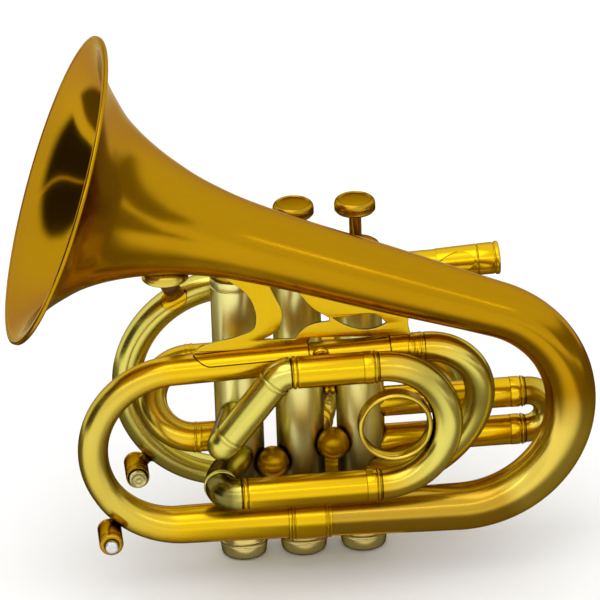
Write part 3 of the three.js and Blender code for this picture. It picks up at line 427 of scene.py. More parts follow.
# %% [markdown]
# The bell is one long taper: the flare, the stem, and the bow that brings it back under the valves. Its
# outline comes as shares of the stem's length and the rim's radius, so one number resizes the whole
# flare. A smooth line through them gives the flare its sweep.

# %% The line and the outline of the bell
BELL_PLANE = -27
BELL_AXIS_Z = 140.8
BELL_PITCH = math.radians(20.7)
RIM_RADIUS = 60.45
RIM_WIRE = 1.1
BELL_WALL = 0.9
BELL_BOW = 44
BELL_BOW_X = 59.9
FERRULE_X = 0.3
RIM_DISTANCE = 99.7
bell_heading = Vector((math.cos(BELL_PITCH), 0, -math.sin(BELL_PITCH)))
rim_centre = Vector((0, BELL_PLANE, BELL_AXIS_Z)) - bell_heading * RIM_DISTANCE
STEM = RIM_DISTANCE + (BELL_BOW_X + BELL_BOW * math.sin(BELL_PITCH)) / math.cos(BELL_PITCH)
bell_route = Route(rim_centre, bell_heading).straight(14, 40).straight(26, 30).straight(STEM - 40, 44)
bell_route.bend(BELL_BOW, BACK, 159.95, 2.5)
BELL_TURN = bell_route.length - STEM
bell_route.straight(BELL_BOW_X - FERRULE_X, 6)
BOTTOM_RUN = 0.136 * RIM_RADIUS
flare = [[0, 1], [0.009, 0.94], [0.022, 0.855], [0.044, 0.755], [0.072, 0.665], [0.111, 0.561],
         [0.166, 0.464], [0.233, 0.379], [0.311, 0.308], [0.417, 0.256], [0.556, 0.23], [0.722, 0.215],
         [1, 0.18]]
bell_outline = smooth(
    [[d * STEM, r * RIM_RADIUS] for d, r in flare]
    + [[STEM + 0.5 * BELL_TURN, 0.1615 * RIM_RADIUS], [STEM + BELL_TURN, 0.155 * RIM_RADIUS],
       [bell_route.length, BOTTOM_RUN]])
print("bell: %.0f mm along its middle" % bell_route.length)

# %% [markdown]
# The bell is swept with more sides than a tube, because the flare is wide. Its inside is polished brighter
# than the outside, and the lower half of its bow gets a painted paler reflection. The rim is rolled over a
# wire, which we turn as a ring and join on.

# %% Bell and rim
WALL_START = 0.35


def behind_rim(piece):
    """The wall starts just inside the rim's wire; its inside is marked as polished"""
    polish = piece.data.attributes.new("polish", "FLOAT", "POINT")
    for vertex in piece.data.vertices:
        along = (vertex.co / MM - rim_centre).dot(bell_heading)
        if along < WALL_START:
            vertex.co += bell_heading * ((WALL_START - along) * MM)
        away = (vertex.co / MM - rim_centre - bell_heading * along).length
        if along < STEM / 2 and away < bell_outline(max(0, along)) - BELL_WALL * 0.5:
            polish.data[vertex.index].value = 1


bell = sweep("bell_body", bell_route, lambda distance: bell_outline(distance) - 0.02, BELL_WALL,
             sides=68, shape=behind_rim)
# Painted reflection: the lower half of the bow is marked with the paler tone.
paler = linear([[0, 0], [STEM + 0.38 * BELL_TURN, 0], [STEM + 0.52 * BELL_TURN, 1],
                [STEM + 0.79 * BELL_TURN, 1], [STEM + 0.86 * BELL_TURN, 0.3]])
mark_along(bell, "steep", paler)
rim_section = [[RIM_RADIUS - RIM_WIRE + RIM_WIRE * math.cos(math.tau * i / 16),
                RIM_WIRE + RIM_WIRE * math.sin(math.tau * i / 16)] for i in range(17)]
bell_rim = turned("bell_rim", rim_section, rim_centre, bell_heading, sides=128, edge=0)
hand_over(join(bell, bell_rim), "bell")
print("bell and rim:", len(bell.data.polygons), "faces")

# %% [markdown]
# Tubes are dressed with bands that have rounded rings and fine grooves, turned on the lathe and slid over.
# Two tubes meet with a small seam between them, which the light would shine through. A short liner ring
# inside closes it, as the slip joint of a real instrument does.

# %% Rings, bands and liners
SEAM = 0.3
LINER_INSET, LINER_REACH, LINER_WALL = 0.85, 1.3, 0.35


def grooved_ring(radius, start, width, proud=0.18, groove=0.6, depth=0.5):
    """A rounded ring with a fine groove on each side; the finishes darken such grooves, partly as residue
    and partly as painted shade
    """
    first, last = start + groove, start + width - groove
    return [[radius, start], [radius - depth, start + 0.08], [radius - depth, first - 0.06],
            *bead(radius, first, width - 2 * groove, proud),
            [radius - depth, last + 0.06], [radius - depth, start + width - 0.08],
            [radius, start + width]]


def band(name, route, distance, profile, inner, pale=0):
    """A turned band round a tube: profile pairs outside, one plain bore inside"""
    point, heading = route.at(distance)
    loop = [[inner, profile[0][1]], *profile, [inner, profile[-1][1]], [inner, profile[0][1]]]
    return turned(name, loop, point, heading, pale=pale)


def liner(route, distance, radius):
    """A short ring inside two tubes that closes the hairline where they meet"""
    bore = radius - LINER_INSET
    return band("liner", route, distance, [[bore, -LINER_REACH], [bore, LINER_REACH]], bore - LINER_WALL)


print("a grooved ring has", len(grooved_ring(6, 0, 2)), "points")

# %% [markdown]
# From the bell's end the tail carries on to the left, round its bow and back to the right as the top run,
# getting narrower on the way. It is swept like the bell, and ends in a band with two grooved rings.

# %% Tail and top run
TAIL_RADIUS = 5.9
TAIL_BOW = 33.8
TAIL_BOW_X = -49.6
TAIL_END_X = 46.6
tail_route = Route(bell_route.end + bell_route.headings[-1] * SEAM, bell_route.headings[-1])
tail_route.straight(FERRULE_X - TAIL_BOW_X - SEAM, 8)
tail_bow_start = tail_route.length
tail_route.bend(TAIL_BOW, BACK, 177.95, 3)
tail_bow_end = tail_route.length
top_run_start = tail_route.end
tail_route.straight((TAIL_END_X - top_run_start.x) / math.cos(math.radians(1.4)), 4)
tail_outline = linear([
    [0, BOTTOM_RUN], [tail_bow_start, 0.124 * RIM_RADIUS],
    [tail_bow_start + (tail_bow_end - tail_bow_start) / 3, TAIL_RADIUS], [tail_route.length, TAIL_RADIUS]])
tail = sweep("bell_tail_tube", tail_route, tail_outline)
top_band = band("top_band", tail_route, tail_route.length - 6.4, [
    [TAIL_RADIUS + 0.15, 0], *grooved_ring(TAIL_RADIUS + 0.15, 1.6, 1.7),
    *grooved_ring(TAIL_RADIUS + 0.15, 4.2, 2)], TAIL_RADIUS - 0.4)
hand_over(join(tail, top_band, liner(tail_route, tail_route.length, TAIL_RADIUS)), "bell_tail")
print("tail: %.0f mm" % tail_route.length)

# %% [markdown]
# The ferrule over the joint of bell and tail is a plain sleeve with a grooved ring at each end. It stands a
# little off both tubes, so it is one closed profile for the lathe.

# %% Bottom ferrule
FERRULE_LENGTH = 16.8
ferrule_bore = BOTTOM_RUN + SEAM * 1.4
ferrule_wall = ferrule_bore + 0.3
ferrule_profile = [
    [ferrule_wall - 0.1, 0], *grooved_ring(ferrule_wall, 0.7, 1.9, 0.24), [ferrule_wall, 3.2],
    [ferrule_wall, FERRULE_LENGTH - 3.2], *grooved_ring(ferrule_wall, FERRULE_LENGTH - 2.6, 1.9, 0.24),
    [ferrule_wall - 0.1, FERRULE_LENGTH]]
ferrule = band("bottom_ferrule", bell_route, bell_route.length - FERRULE_LENGTH / 2, ferrule_profile,
               ferrule_bore)
hand_over(ferrule, "bell_ferrule")
print("ferrule: %.1f mm across" % (2 * ferrule_wall))

# %% [markdown]
# The top run ends in a small bow that drops, swings back and enters valve 1 from the front. It follows no
# plain arc, so two free swings with a handle at each end draw it.

# %% Small bow into valve 1
ELBOW_DROP = 24.34
elbow_route = Route(tail_route.end + tail_route.headings[-1] * SEAM, tail_route.headings[-1])
elbow_side = (68.6, -23.5, tail_route.end.z - ELBOW_DROP)
elbow_route.swing(0.55 * ELBOW_DROP, elbow_side, (-0.06, 0.22, -1), 0.55 * ELBOW_DROP)
elbow_in = port(1, -50, 0, -1) - Vector((VALVE_X[1], 0, 0))
elbow_route.swing(0.825 * ELBOW_DROP, port(1, -50, 36, CASING_RADIUS * 0.8), elbow_in, ELBOW_DROP, 40)
elbow = sweep("tail_elbow", elbow_route, linear([[0, TAIL_RADIUS]]), shape=saddle(1, elbow_in))
hand_over(elbow, "tail_bow")
print("small bow: %.0f mm" % elbow_route.length)

# %% [markdown]
# Behind the valves runs the leadpipe. Its receiver takes the mouthpiece, so it is bored with a taper and
# left open. The long profile follows its lip, its groove and its slender cone down to the pipe.

# %% Mouthpiece receiver
BACK_PLANE = 24
RECEIVER_X = 83.2
RECEIVER_RADIUS = 6.35
RECEIVER_LENGTH = 25
LEAD_RADIUS = 5.7
LEAD_PITCH = math.radians(1.55)
FRONT_X, FRONT_Z, FRONT_BOW = -24.8, 65.2, 41.7
LEAD_END_X = -12
lead_heading = Vector((-math.cos(LEAD_PITCH), 0, -math.sin(LEAD_PITCH)))
bow_top = Vector((FRONT_X - FRONT_BOW * math.sin(LEAD_PITCH), BACK_PLANE,
                  FRONT_Z + FRONT_BOW * math.cos(LEAD_PITCH)))
receiver_start = bow_top - lead_heading * ((RECEIVER_X - bow_top.x) / math.cos(LEAD_PITCH))
lead_seat = RECEIVER_LENGTH - 6.7
outer, lead_bore = RECEIVER_RADIUS, LEAD_RADIUS + SEAM - 0.2
receiver = turned("receiver_tube", [
    [5.1, 0.5], [5.4, 0.1], [outer - 0.2, 0], [outer + 0.2, 0.3], [outer + 0.35, 0.9],
    [outer + 0.2, 1.6], [outer - 0.25, 1.9], [outer - 0.25, 2.3], [outer, 2.45], [outer - 0.05, 8.4],
    [outer - 0.4, 8.6], [outer - 0.4, 9], [outer + 0.05, 9.15], [outer + 0.05, 9.5], [outer - 0.1, 9.8],
    [outer - 0.5, RECEIVER_LENGTH], [lead_bore, RECEIVER_LENGTH], [lead_bore, lead_seat + 1],
    [4.6, lead_seat], [5.1, 0.5]], receiver_start, lead_heading)
print("receiver starts at x = %.1f" % receiver_start.x)

# %% [markdown]
# Thin plates are wrapped on tubes and soldered there: the feet of the braces, and two pointed leaves that
# reach from the receiver onto the pipe. A flat grid is bent round the tube point by point, and Solidify
# gives it its thickness. Below it lies a slightly larger, thinner and darker one: the line of old solder
# that shows all round.

# %% Soldered plates and the leaves of the receiver
SOLDER = 0.4


def patch(name, point, heading, radius, span, low, high, thickness, columns):
    """A thin plate wrapped on a tube; low and high give its edges in degrees from straight up"""
    start_fresh()
    bpy.ops.mesh.primitive_grid_add(x_subdivisions=columns, y_subdivisions=14, size=2)
    plate = bpy.context.object
    heading = Vector(heading).normalized()
    aside = heading.cross(UP).normalized()
    top = aside.cross(heading)
    for vertex in plate.data.vertices:
        u, v = (vertex.co.x + 1) / 2, (vertex.co.y + 1) / 2
        turn = math.radians(low(u) + (high(u) - low(u)) * v)
        out = top * math.cos(turn) + aside * math.sin(turn)
        vertex.co = (Vector(point) + heading * (span * u) + out * radius) * MM
    bpy.ops.object.mode_set(mode="EDIT")
    bpy.ops.mesh.select_all(action="SELECT")
    bpy.ops.mesh.remove_doubles(threshold=2e-5)
    bpy.ops.object.mode_set(mode="OBJECT")
    out = sum(face.normal.dot(face.center - Vector(point) * MM) for face in plate.data.polygons)
    apply_modifier(plate, "SOLIDIFY", thickness=thickness * MM, offset=1 if out > 0 else -1)
    if out < 0:
        bpy.ops.object.mode_set(mode="EDIT")
        bpy.ops.mesh.select_all(action="SELECT")
        bpy.ops.mesh.normals_make_consistent(inside=False)
        bpy.ops.object.mode_set(mode="OBJECT")
    apply_modifier(plate, "BEVEL", width=0.15 * MM, segments=2, limit_method="ANGLE",
                   angle_limit=math.radians(50))
    mark(plate, "pulled_straight", lambda vertex: vertex.co.yzx, "FLOAT_VECTOR")
    return finish_mesh(plate, name)


def soldered(name, point, heading, radius, span, low, high, thickness, columns=48):
    """The patch with a dark line of old solder showing all round it"""
    longer = span + 2 * SOLDER
    spread = math.degrees(SOLDER / radius)
    start = Vector(point) - Vector(heading).normalized() * SOLDER

    def share(u):
        return min(1, max(0, (u * longer - SOLDER) / span))

    solder = patch("solder", start, heading, radius, longer, lambda u: low(share(u)) - spread,
                   lambda u: high(share(u)) + spread, 0.14, columns)
    mark(solder, "grime", lambda vertex: 1)
    return join(patch(name, point, heading, radius, span, low, high, thickness, columns), solder)


def leaf_edge(centre, side):
    """The pointed outline of a leaf; side is -1 for its lower edge and 1 for its upper one"""
    return lambda u: centre + side * 40 * math.sin(math.pi * u ** 0.66)


leaf_start = receiver_start + lead_heading * 10.4
leaves = [soldered("leaf", leaf_start, lead_heading, RECEIVER_RADIUS - 0.42, 15, leaf_edge(centre, -1),
                   leaf_edge(centre, 1), 0.45) for centre in (-68, 112)]
hand_over(join(receiver, *leaves), "mouthpiece_receiver")
print("leaves:", len(leaves))

# %% [markdown]
# The leadpipe is a plain tube with a long band where the front bow starts. The bow turns it down and back
# under itself, into the tuning slide. It mirrors a paler part of the room, and that reflection is painted
# on it as a paler tone.

# %% Leadpipe and front bow
FRONT_RADIUS = 5.9
TUNING_END_X = -8
lead_start = receiver_start + lead_heading * (lead_seat + SEAM)
lead_route = Route(lead_start, lead_heading)
lead_route.straight((RECEIVER_X - LEAD_END_X) / math.cos(LEAD_PITCH) - lead_seat - SEAM, 4)
leadpipe = sweep("leadpipe_tube", lead_route, linear([[0, LEAD_RADIUS]]))
lead_band = band("lead_band", lead_route, lead_route.length - 7.4, [
    [FRONT_RADIUS + 0.15, 0], *grooved_ring(FRONT_RADIUS + 0.15, 1.6, 1.7),
    *grooved_ring(FRONT_RADIUS + 0.15, 5, 2)], LEAD_RADIUS - 0.2)
hand_over(join(leadpipe, lead_band, liner(lead_route, lead_route.length, LEAD_RADIUS)), "leadpipe")

front_route = Route(lead_route.end + lead_heading * SEAM, lead_heading)
front_route.straight((LEAD_END_X - bow_top.x) / math.cos(LEAD_PITCH) - SEAM)
front_route.bend(FRONT_BOW, -BACK, 178.45, 3)
front_route.straight(TUNING_END_X - FRONT_X - SEAM)
front_bow = sweep("front_bow_tube", front_route, linear([[0, FRONT_RADIUS]]))
# Painted reflection: the whole front bow takes the paler tone.
mark_along(front_bow, "steep", lambda distance: 1)
hand_over(join(front_bow, liner(front_route, front_route.length, FRONT_RADIUS)), "front_bow")
print("leadpipe: %.0f mm, front bow: %.0f mm" % (lead_route.length, front_route.length))

# %% [markdown]
# A slide is an outer sleeve with an inner leg that moves in it. Each sleeve is one turned piece: a grooved
# ring where it starts, a plain length, and a ferrule with a grooved ring at its mouth. Each slide is one
# swept U whose legs are thinner than its bow, with a touch of painted shade on the bow's upper half.

# %% A sleeve and a slide
SLIDE_PAINTED_SHADE = 0.35


def sleeve(name, start, heading, length, radius, valve=None, ringed=True):
    bore = radius - TUBE_WALL
    first = grooved_ring(radius, 0.2, 2.4) if ringed else [[radius, 0]]
    ferrule = length - 6
    piece = turned(name, [
        [bore, 0], *first, [radius, 3.6], [radius, ferrule], [radius - 0.14, ferrule + 0.06],
        [radius - 0.14, ferrule + 0.2], [radius + 0.12, ferrule + 0.28], [radius + 0.12, length - 3],
        *grooved_ring(radius + 0.08, length - 2.1, 1.9), [radius, length - 0.1], [bore, length], [bore, 0]],
        start, heading)
    if valve:
        saddle(valve, -Vector(heading))(piece)
    return piece


def slide(name, first_mouth, second_mouth, outwards, sleeve_radius, leg=30):
    """Two legs that run in the sleeves, and the bow between them"""
    first_mouth, second_mouth, outwards = map(Vector, (first_mouth, second_mouth, outwards))
    across = second_mouth - first_mouth
    bend_axis = outwards.cross(across).normalized()
    leg_radius = sleeve_radius - TUBE_WALL - SEAM
    bow_radius = leg_radius + SEAM * 2
    route = Route(first_mouth - outwards * leg, outwards)
    route.straight(leg + SEAM).straight(0.05).straight(1 - SEAM - 0.05)
    route.bend(across.length / 2, bend_axis, 180, 4)
    route.straight(1 - SEAM - 0.05).straight(0.05).straight(leg + SEAM)
    shoulder = leg + SEAM
    end = route.length
    step = linear([[0, leg_radius], [shoulder, leg_radius], [shoulder + 0.05, bow_radius],
                   [end - shoulder - 0.05, bow_radius], [end - shoulder, leg_radius], [end, leg_radius]])
    piece = sweep(name, route, step)
    # Painted shade: part of the bow's upper half is darkened.
    tarnish = linear([[0, 0], [end * 0.5, 0], [end * 0.66, SLIDE_PAINTED_SHADE], [end * 0.74, 0]])
    return mark_along(piece, "grime", tarnish), route


print("inner legs are %.1f mm thinner than their sleeves" % (2 * (TUBE_WALL + SEAM)))

# %% [markdown]
# The main tuning slide and the slide of valve 1 both pull towards the player, along X. The sleeves of
# valve 1 start as saddles on its casing and have no ring there.

# %% Main tuning slide and first slide
TUNING_X, TUNING_BOW = 38, 25.7
tuning_low = FRONT_Z - FRONT_BOW
tuning_high = tuning_low + 2 * TUNING_BOW
tuning_mouth = TUNING_X - 1
for name, height in (("lower", tuning_low), ("upper", tuning_high)):
    hand_over(sleeve(f"tuning_{name}", (TUNING_END_X, BACK_PLANE, height), ACROSS,
                     tuning_mouth - TUNING_END_X, FRONT_RADIUS), f"tuning_sleeve_{name}")
tuning, _ = slide("tuning_bow", (tuning_mouth, BACK_PLANE, tuning_low),
                  (tuning_mouth, BACK_PLANE, tuning_high), ACROSS, FRONT_RADIUS)
hand_over(tuning, "main_tuning_slide")

FIRST_RADIUS, FIRST_HIGH, FIRST_LOW, FIRST_MOUTH = 6, 62.1, 45.4, 89.3
for name, height in (("upper", FIRST_HIGH), ("lower", FIRST_LOW)):
    start = port(1, 0, height, CASING_RADIUS * 0.7)
    hand_over(sleeve(f"first_{name}", start, ACROSS, FIRST_MOUTH - start.x, FIRST_RADIUS, 1, False),
              f"first_sleeve_{name}")
first, _ = slide("first_bow", (FIRST_MOUTH, 0, FIRST_LOW), (FIRST_MOUTH, 0, FIRST_HIGH), ACROSS,
                 FIRST_RADIUS)
hand_over(first, "first_slide")
print("tuning and first slide made")

# %% [markdown]
# The second slide is short and points away from the bell. There is no room for a finger round its bow, so
# it has a turned knob to pull it by.

# %% Second slide with its knob
SECOND_RADIUS, SECOND_HIGH, SECOND_LOW, SECOND_REACH = 5.8, 58.5, 42, 30
second_along = port(2, 70, 0, 1)
for name, height in (("upper", SECOND_HIGH), ("lower", SECOND_LOW)):
    start = port(2, 70, height, CASING_RADIUS * 0.7)
    hand_over(sleeve(f"second_{name}", start, second_along, SECOND_REACH - CASING_RADIUS * 0.7,
                     SECOND_RADIUS, 2, False), f"second_sleeve_{name}")
second, second_route = slide("second_bow", port(2, 70, SECOND_LOW, SECOND_REACH),
                             port(2, 70, SECOND_HIGH, SECOND_REACH), second_along, SECOND_RADIUS, leg=16.5)
tip = second_route.at(second_route.length / 2)[0] + second_along * 4.6
knob = turned("pull_knob", [
    [0, 0], [2.6, 0], [2.1, 0.9], [2, 2.8], [2.6, 3.6], [3.7, 4.1], [4.2, 4.9], [4.2, 6], [3.6, 6.6],
    [2.4, 6.9], [0, 7]], tip, second_along)
hand_over(join(second, knob), "second_slide")
print("knob at y = %.1f" % tip.y)

# %% [markdown]
# The third slide lies in front, so it is seen best. Its upper sleeve is shorter than the lower one, because
# it starts beyond the sloping tube that leads to valve 3.

# %% Third slide and its sleeves
THIRD_PLANE, THIRD_RADIUS = -40.4, 6.25
THIRD_HIGH, THIRD_LOW = 98, 46.8
THIRD_MOUTH = 27.3
THIRD_START = {"upper": (-6.6, THIRD_HIGH), "lower": (-27.3, THIRD_LOW)}
for name, (x, height) in THIRD_START.items():
    hand_over(sleeve(f"third_{name}", (x, THIRD_PLANE, height), ACROSS, THIRD_MOUTH - x, THIRD_RADIUS),
              f"third_sleeve_{name}")
third, _ = slide("third_bow", (THIRD_MOUTH, THIRD_PLANE, THIRD_LOW), (THIRD_MOUTH, THIRD_PLANE, THIRD_HIGH),
                 ACROSS, THIRD_RADIUS)
hand_over(third, "third_slide")
print("third slide: %.1f mm between its legs" % (THIRD_HIGH - THIRD_LOW))

# %% [markdown]
# Two branches join the third slide's sleeves to valve 3. The upper one has a tight elbow, a sloping tube
# and a turn into the casing, with a grooved ring beside each bend. The lower one turns straight back, with
# one ring after its elbow, and its bend is darkened with painted shade. Both branches and their rings take
# the paler tone of a painted reflection.

# %% Branches from the third slide into valve 3
third_in = port(3, -104, 0, -1) - Vector((VALVE_X[3], 0, 0))
upper_route = Route((THIRD_START["upper"][0] - SEAM, THIRD_PLANE, THIRD_HIGH), -ACROSS)
upper_route.bend(7, -BACK, 51.3)
upper_elbow_end = upper_route.length
upper_route.straight(31.5, 4)
drop_end = upper_route.length
upper_route.swing(6.5, port(3, -104, 65, CASING_RADIUS * 0.8), third_in, 20.8, 40)
upper_branch = sweep("third_branch_high", upper_route, linear([[0, THIRD_RADIUS]]),
                     shape=saddle(3, third_in))
BRANCH_RINGS = grooved_ring(THIRD_RADIUS + 0.3, 0, 2.3, depth=0.26)
# Painted reflection: the upper branch and its rings take the paler tone.
mark_along(upper_branch, "steep", lambda distance: 1)
upper_bands = [band("rings", upper_route, distance, BRANCH_RINGS, THIRD_RADIUS - 0.3, pale=1)
               for distance in (upper_elbow_end + SEAM, drop_end - 2.3 - SEAM)]
hand_over(join(upper_branch, *upper_bands, liner(upper_route, 0, THIRD_RADIUS)), "third_branch_upper")

lower_route = Route((THIRD_START["lower"][0] - SEAM, THIRD_PLANE, THIRD_LOW), -ACROSS)
lower_route.bend(7, -UP, 90)
lower_elbow_end = lower_route.length
lower_target = port(3, -104, THIRD_LOW, CASING_RADIUS * 0.8)
lower_reach = (lower_target.y - lower_route.end.y) / 2
lower_route.swing(lower_reach, lower_target, third_in, lower_reach, 24)
lower_branch = sweep("third_branch_low", lower_route, linear([[0, THIRD_RADIUS]]),
                     shape=saddle(3, third_in))
# Painted reflection: the lower branch and its ring take the paler tone.
mark_along(lower_branch, "steep", lambda distance: 1)
lower_band = band("rings", lower_route, lower_elbow_end, BRANCH_RINGS, THIRD_RADIUS - 0.3, pale=1)
# Painted shade: the lower branch is darkened towards its bend.
painted_shade = linear([[THIRD_START["lower"][0] - 4.7, 0.75], [THIRD_START["lower"][0] + 0.3, 0]])
mark(lower_branch, "grime", lambda vertex: painted_shade(vertex.co.x / MM))
hand_over(join(lower_branch, lower_band, liner(lower_route, 0, THIRD_RADIUS)), "third_branch_lower")
print("branches: %.0f and %.0f mm" % (upper_route.length, lower_route.length))

# %% [markdown]
# The player's ring finger pulls the third slide by a ring that is soldered inside its bow. Its section is
# rounded at both rims and a little hollow outside, so one closed profile goes on the lathe.

# %% Finger ring
RING_RADIUS, RING_WALL, RING_DEPTH = 14.5, 1.9, 6.4
THIRD_BOW_TUBE = THIRD_RADIUS - TUBE_WALL + SEAM
ring_x = THIRD_MOUTH + 1 + (THIRD_HIGH - THIRD_LOW) / 2 - THIRD_BOW_TUBE - SEAM - RING_RADIUS
ring_foot = (ring_x, THIRD_PLANE - RING_DEPTH / 2, (THIRD_HIGH + THIRD_LOW) / 2)
inner = RING_RADIUS - RING_WALL
finger_ring = turned("finger_ring", [
    [inner, 0.9], [inner + 0.35, 0.3], [inner + 0.9, 0], [RING_RADIUS - 0.5, 0.25], [RING_RADIUS, 0.9],
    [RING_RADIUS - 0.25, RING_DEPTH / 2], [RING_RADIUS, RING_DEPTH - 0.9],
    [RING_RADIUS - 0.5, RING_DEPTH - 0.25], [inner + 0.9, RING_DEPTH], [inner + 0.35, RING_DEPTH - 0.3],
    [inner, RING_DEPTH - 0.9], [inner, 0.9]], ring_foot, BACK, sides=96, pale=0.7)
hand_over(finger_ring, "third_slide_ring")
print("third slide ring at x = %.1f" % ring_x)

# %% [markdown]
# From the tuning slide's upper leg the inlet bow turns down and forward into valve 3. Its half circle lies
# in a plane that slopes from the back plane to the valves, with a ringed band at both ends.

# %% Inlet bow
INLET_BOW_X, INLET_LOW = -41, 52.3
inlet_route = Route((TUNING_END_X - SEAM, BACK_PLANE, tuning_high), -ACROSS)
inlet_route.straight(TUNING_END_X - SEAM - INLET_BOW_X)
inlet_across = Vector((0, -BACK_PLANE, INLET_LOW - tuning_high))
inlet_start = inlet_route.length
inlet_route.bend(inlet_across.length / 2, (-ACROSS).cross(inlet_across).normalized(), 180)
inlet_end = inlet_route.length
inlet_route.straight(VALVE_X[3] - INLET_BOW_X - CASING_RADIUS * 0.7)
inlet = sweep("inlet_tube", inlet_route, linear([[0, FRONT_RADIUS]]), shape=saddle(3, ACROSS))
inlet_bands = [band("rings", inlet_route, distance - 1.9, [
    *grooved_ring(FRONT_RADIUS + 0.12, 0, 2.2), [FRONT_RADIUS + 0.12, 3.8]], FRONT_RADIUS - 0.4)
    for distance in (inlet_start, inlet_end)]
hand_over(join(inlet, *inlet_bands, liner(inlet_route, 0, FRONT_RADIUS)), "inlet_bow")
print("inlet bow: %.0f mm" % inlet_route.length)

# %% [markdown]
# The caps and the buttons have knurled bands to grip. A knurl is pressed in by a wheel: here every other
# point of a band is drawn in, row by row, which leaves real ridges. For that a band needs rows of points.

# %% Knurled bands
KNURL_FLOOR = 6.5
ORIGIN = (0, 0, 0)


def rows(radius, low, high, count):
    return [[radius, low + (high - low) * i / count] for i in range(count + 1)]


def knurl(piece, low, high, depth, pattern):
    """Draws points of a band in towards the axis where the pattern of side and row says so"""
    band_points = [vertex for vertex in piece.data.vertices
                   if low <= vertex.co.z / MM <= high
                   and math.hypot(vertex.co.x / MM, vertex.co.y / MM) > KNURL_FLOOR]
    levels = sorted({round(vertex.co.z / MM, 2) for vertex in band_points})
    sides = TURNED_SIDES * 2
    for vertex in band_points:
        turn = math.atan2(vertex.co.y, vertex.co.x)
        side = round(turn / math.tau * sides) % sides
        if pattern(side, levels.index(round(vertex.co.z / MM, 2))):
            vertex.co.x -= math.cos(turn) * depth * MM
            vertex.co.y -= math.sin(turn) * depth * MM


def every_other(side, row):
    return side % 2


print("ridges round a cap:", TURNED_SIDES)

# %% [markdown]
# Each valve is a plain turned casing, threaded at both ends for its caps. One set of parts is made for
# valve 2, in the middle. The low front of a casing is darkened with painted shade, fading upwards and
# towards the sides.

# %% Casing
CASING_FOOT, CASING_TOP = 2.7, 128
bore, thread, groove, wall = 8.1, 8.7, 9.25, 9.5
CASING_PAINTED_SHADE = 0.7
SHADE_LOW, SHADE_HIGH = 30, 58
casing = turned("casing", [
    [bore, CASING_FOOT], [thread, CASING_FOOT], [thread, 9.9], [wall, 9.9], [wall, 13.2], [groove, 13.4],
    [groove, 13.8], [wall, 14], *rows(wall, SHADE_LOW, SHADE_HIGH, 8), [wall, 118.2],
    [groove, 118.4], [groove, 118.8], [wall, 119], [wall, 122.3], [thread, 122.3], [thread, CASING_TOP],
    [bore, CASING_TOP], [bore, CASING_FOOT]], ORIGIN, sides=96)
by_height = linear([[14, 0], [SHADE_LOW, 1], [44, 1], [SHADE_HIGH, 0]])


# Painted shade on the low front of the casing.
def casing_painted_shade(vertex):
    in_front = min(1, max(0, 0.5 - vertex.co.y / MM / 8))
    return CASING_PAINTED_SHADE * in_front * by_height(vertex.co.z / MM)


mark(casing, "grime", casing_painted_shade)
print("casing: %.1f mm across" % (2 * wall))

# %% [markdown]
# A cap is screwed on at both ends of the casing, each with a knurled band. The stem comes up through the
# top cap and carries the dished finger button, whose rim has a crossed knurl.

# %% Caps, stem and button
CAP_RADIUS = 9.75
# Painted reflection: the bottom cap takes the paler tone.
bottom_cap = turned("bottom_cap", [
    [0, 0.5], [6.2, 0.45], [6.9, 0.1], [7.7, 0], [8.4, 0.12], [8.8, 0.55], [9, 1.4], [9.2, 3], [9.4, 4.6],
    [9.4, 4.9], [9.3, 5.05], *rows(CAP_RADIUS, 5.3, 6.7, 4), [9.6, 6.9], [9.3, 7], [9.2, 7.4],
    [9.3, 7.8], [9.35, 9.6], [9, 9.6], [9, 2.4], [0, 2.4]], ORIGIN, sides=TURNED_SIDES * 2, edge=0, pale=1)
knurl(bottom_cap, 5.35, 6.65, 0.26, every_other)

top_cap = turned("top_cap", [
    [9, 122.6], [9.35, 122.6], [9.45, 123.2], *rows(CAP_RADIUS, 123.6, 125.6, 4), [9.5, 125.8],
    [9.6, 126.2], [9.65, 129.4], [9.5, 130.6], [9.1, 131.4], [8.4, 131.9], [7.4, 132.1], [3.4, 132.1],
    [3, 131.8], [3, 129.7], [9, 129.7], [9, 122.6]], ORIGIN, sides=TURNED_SIDES * 2, edge=0)
knurl(top_cap, 123.65, 125.55, 0.22, every_other)

stem = turned("stem", [
    [0, 121.4], [2.4, 121.4], [2.4, 143.9], [2.4, 148.4], [0, 148.4]], ORIGIN, sides=40)
BUTTON_FOOT, BUTTON_TOP = 145.4, 151.1
button = turned("button", [
    [2.7, 145.9], [2.9, BUTTON_FOOT], [5, BUTTON_FOOT], [6.5, 145.6], [7.3, 146], [7.75, 146.5],
    *rows(8, 146.8, 148.8, 6), [7.98, 149.1], [7.9, 149.7], [7.65, 150.3], [7.25, 150.8], [6.8, BUTTON_TOP],
    [6.5, 151.06], [6.25, 150.75], [5.9, 150.68], [5.6, 150.75], [3, 150.95], [0, 151]],
    ORIGIN, sides=TURNED_SIDES * 2, edge=0)
knurl(button, 146.85, 148.75, 0.3, lambda side, row: (side + row) % 4 == 0 or (side - row) % 4 == 0)
button_bore = turned("button_bore", [[2.7, 145.9], [2.7, 149.2], [0, 149.2]], ORIGIN, sides=40, edge=0)
join(button, button_bore)
print("button: %.1f mm high" % (BUTTON_TOP - BUTTON_FOOT))

# %% [markdown]
# The other two valves have the same parts. Each copy gets a mesh of its own and moves along X inside it,
# so its object stays at the origin like every other piece.

# %% Valves 1 and 3
def copy_along_x(piece, name, shift):
    take_up(piece)
    bpy.ops.object.duplicate()
    twin = bpy.context.object
    bpy.ops.transform.translate(value=(shift * MM, 0, 0))
    bpy.ops.object.transform_apply(location=True, rotation=False, scale=False)
    twin.name = twin.data.name = name
    return twin


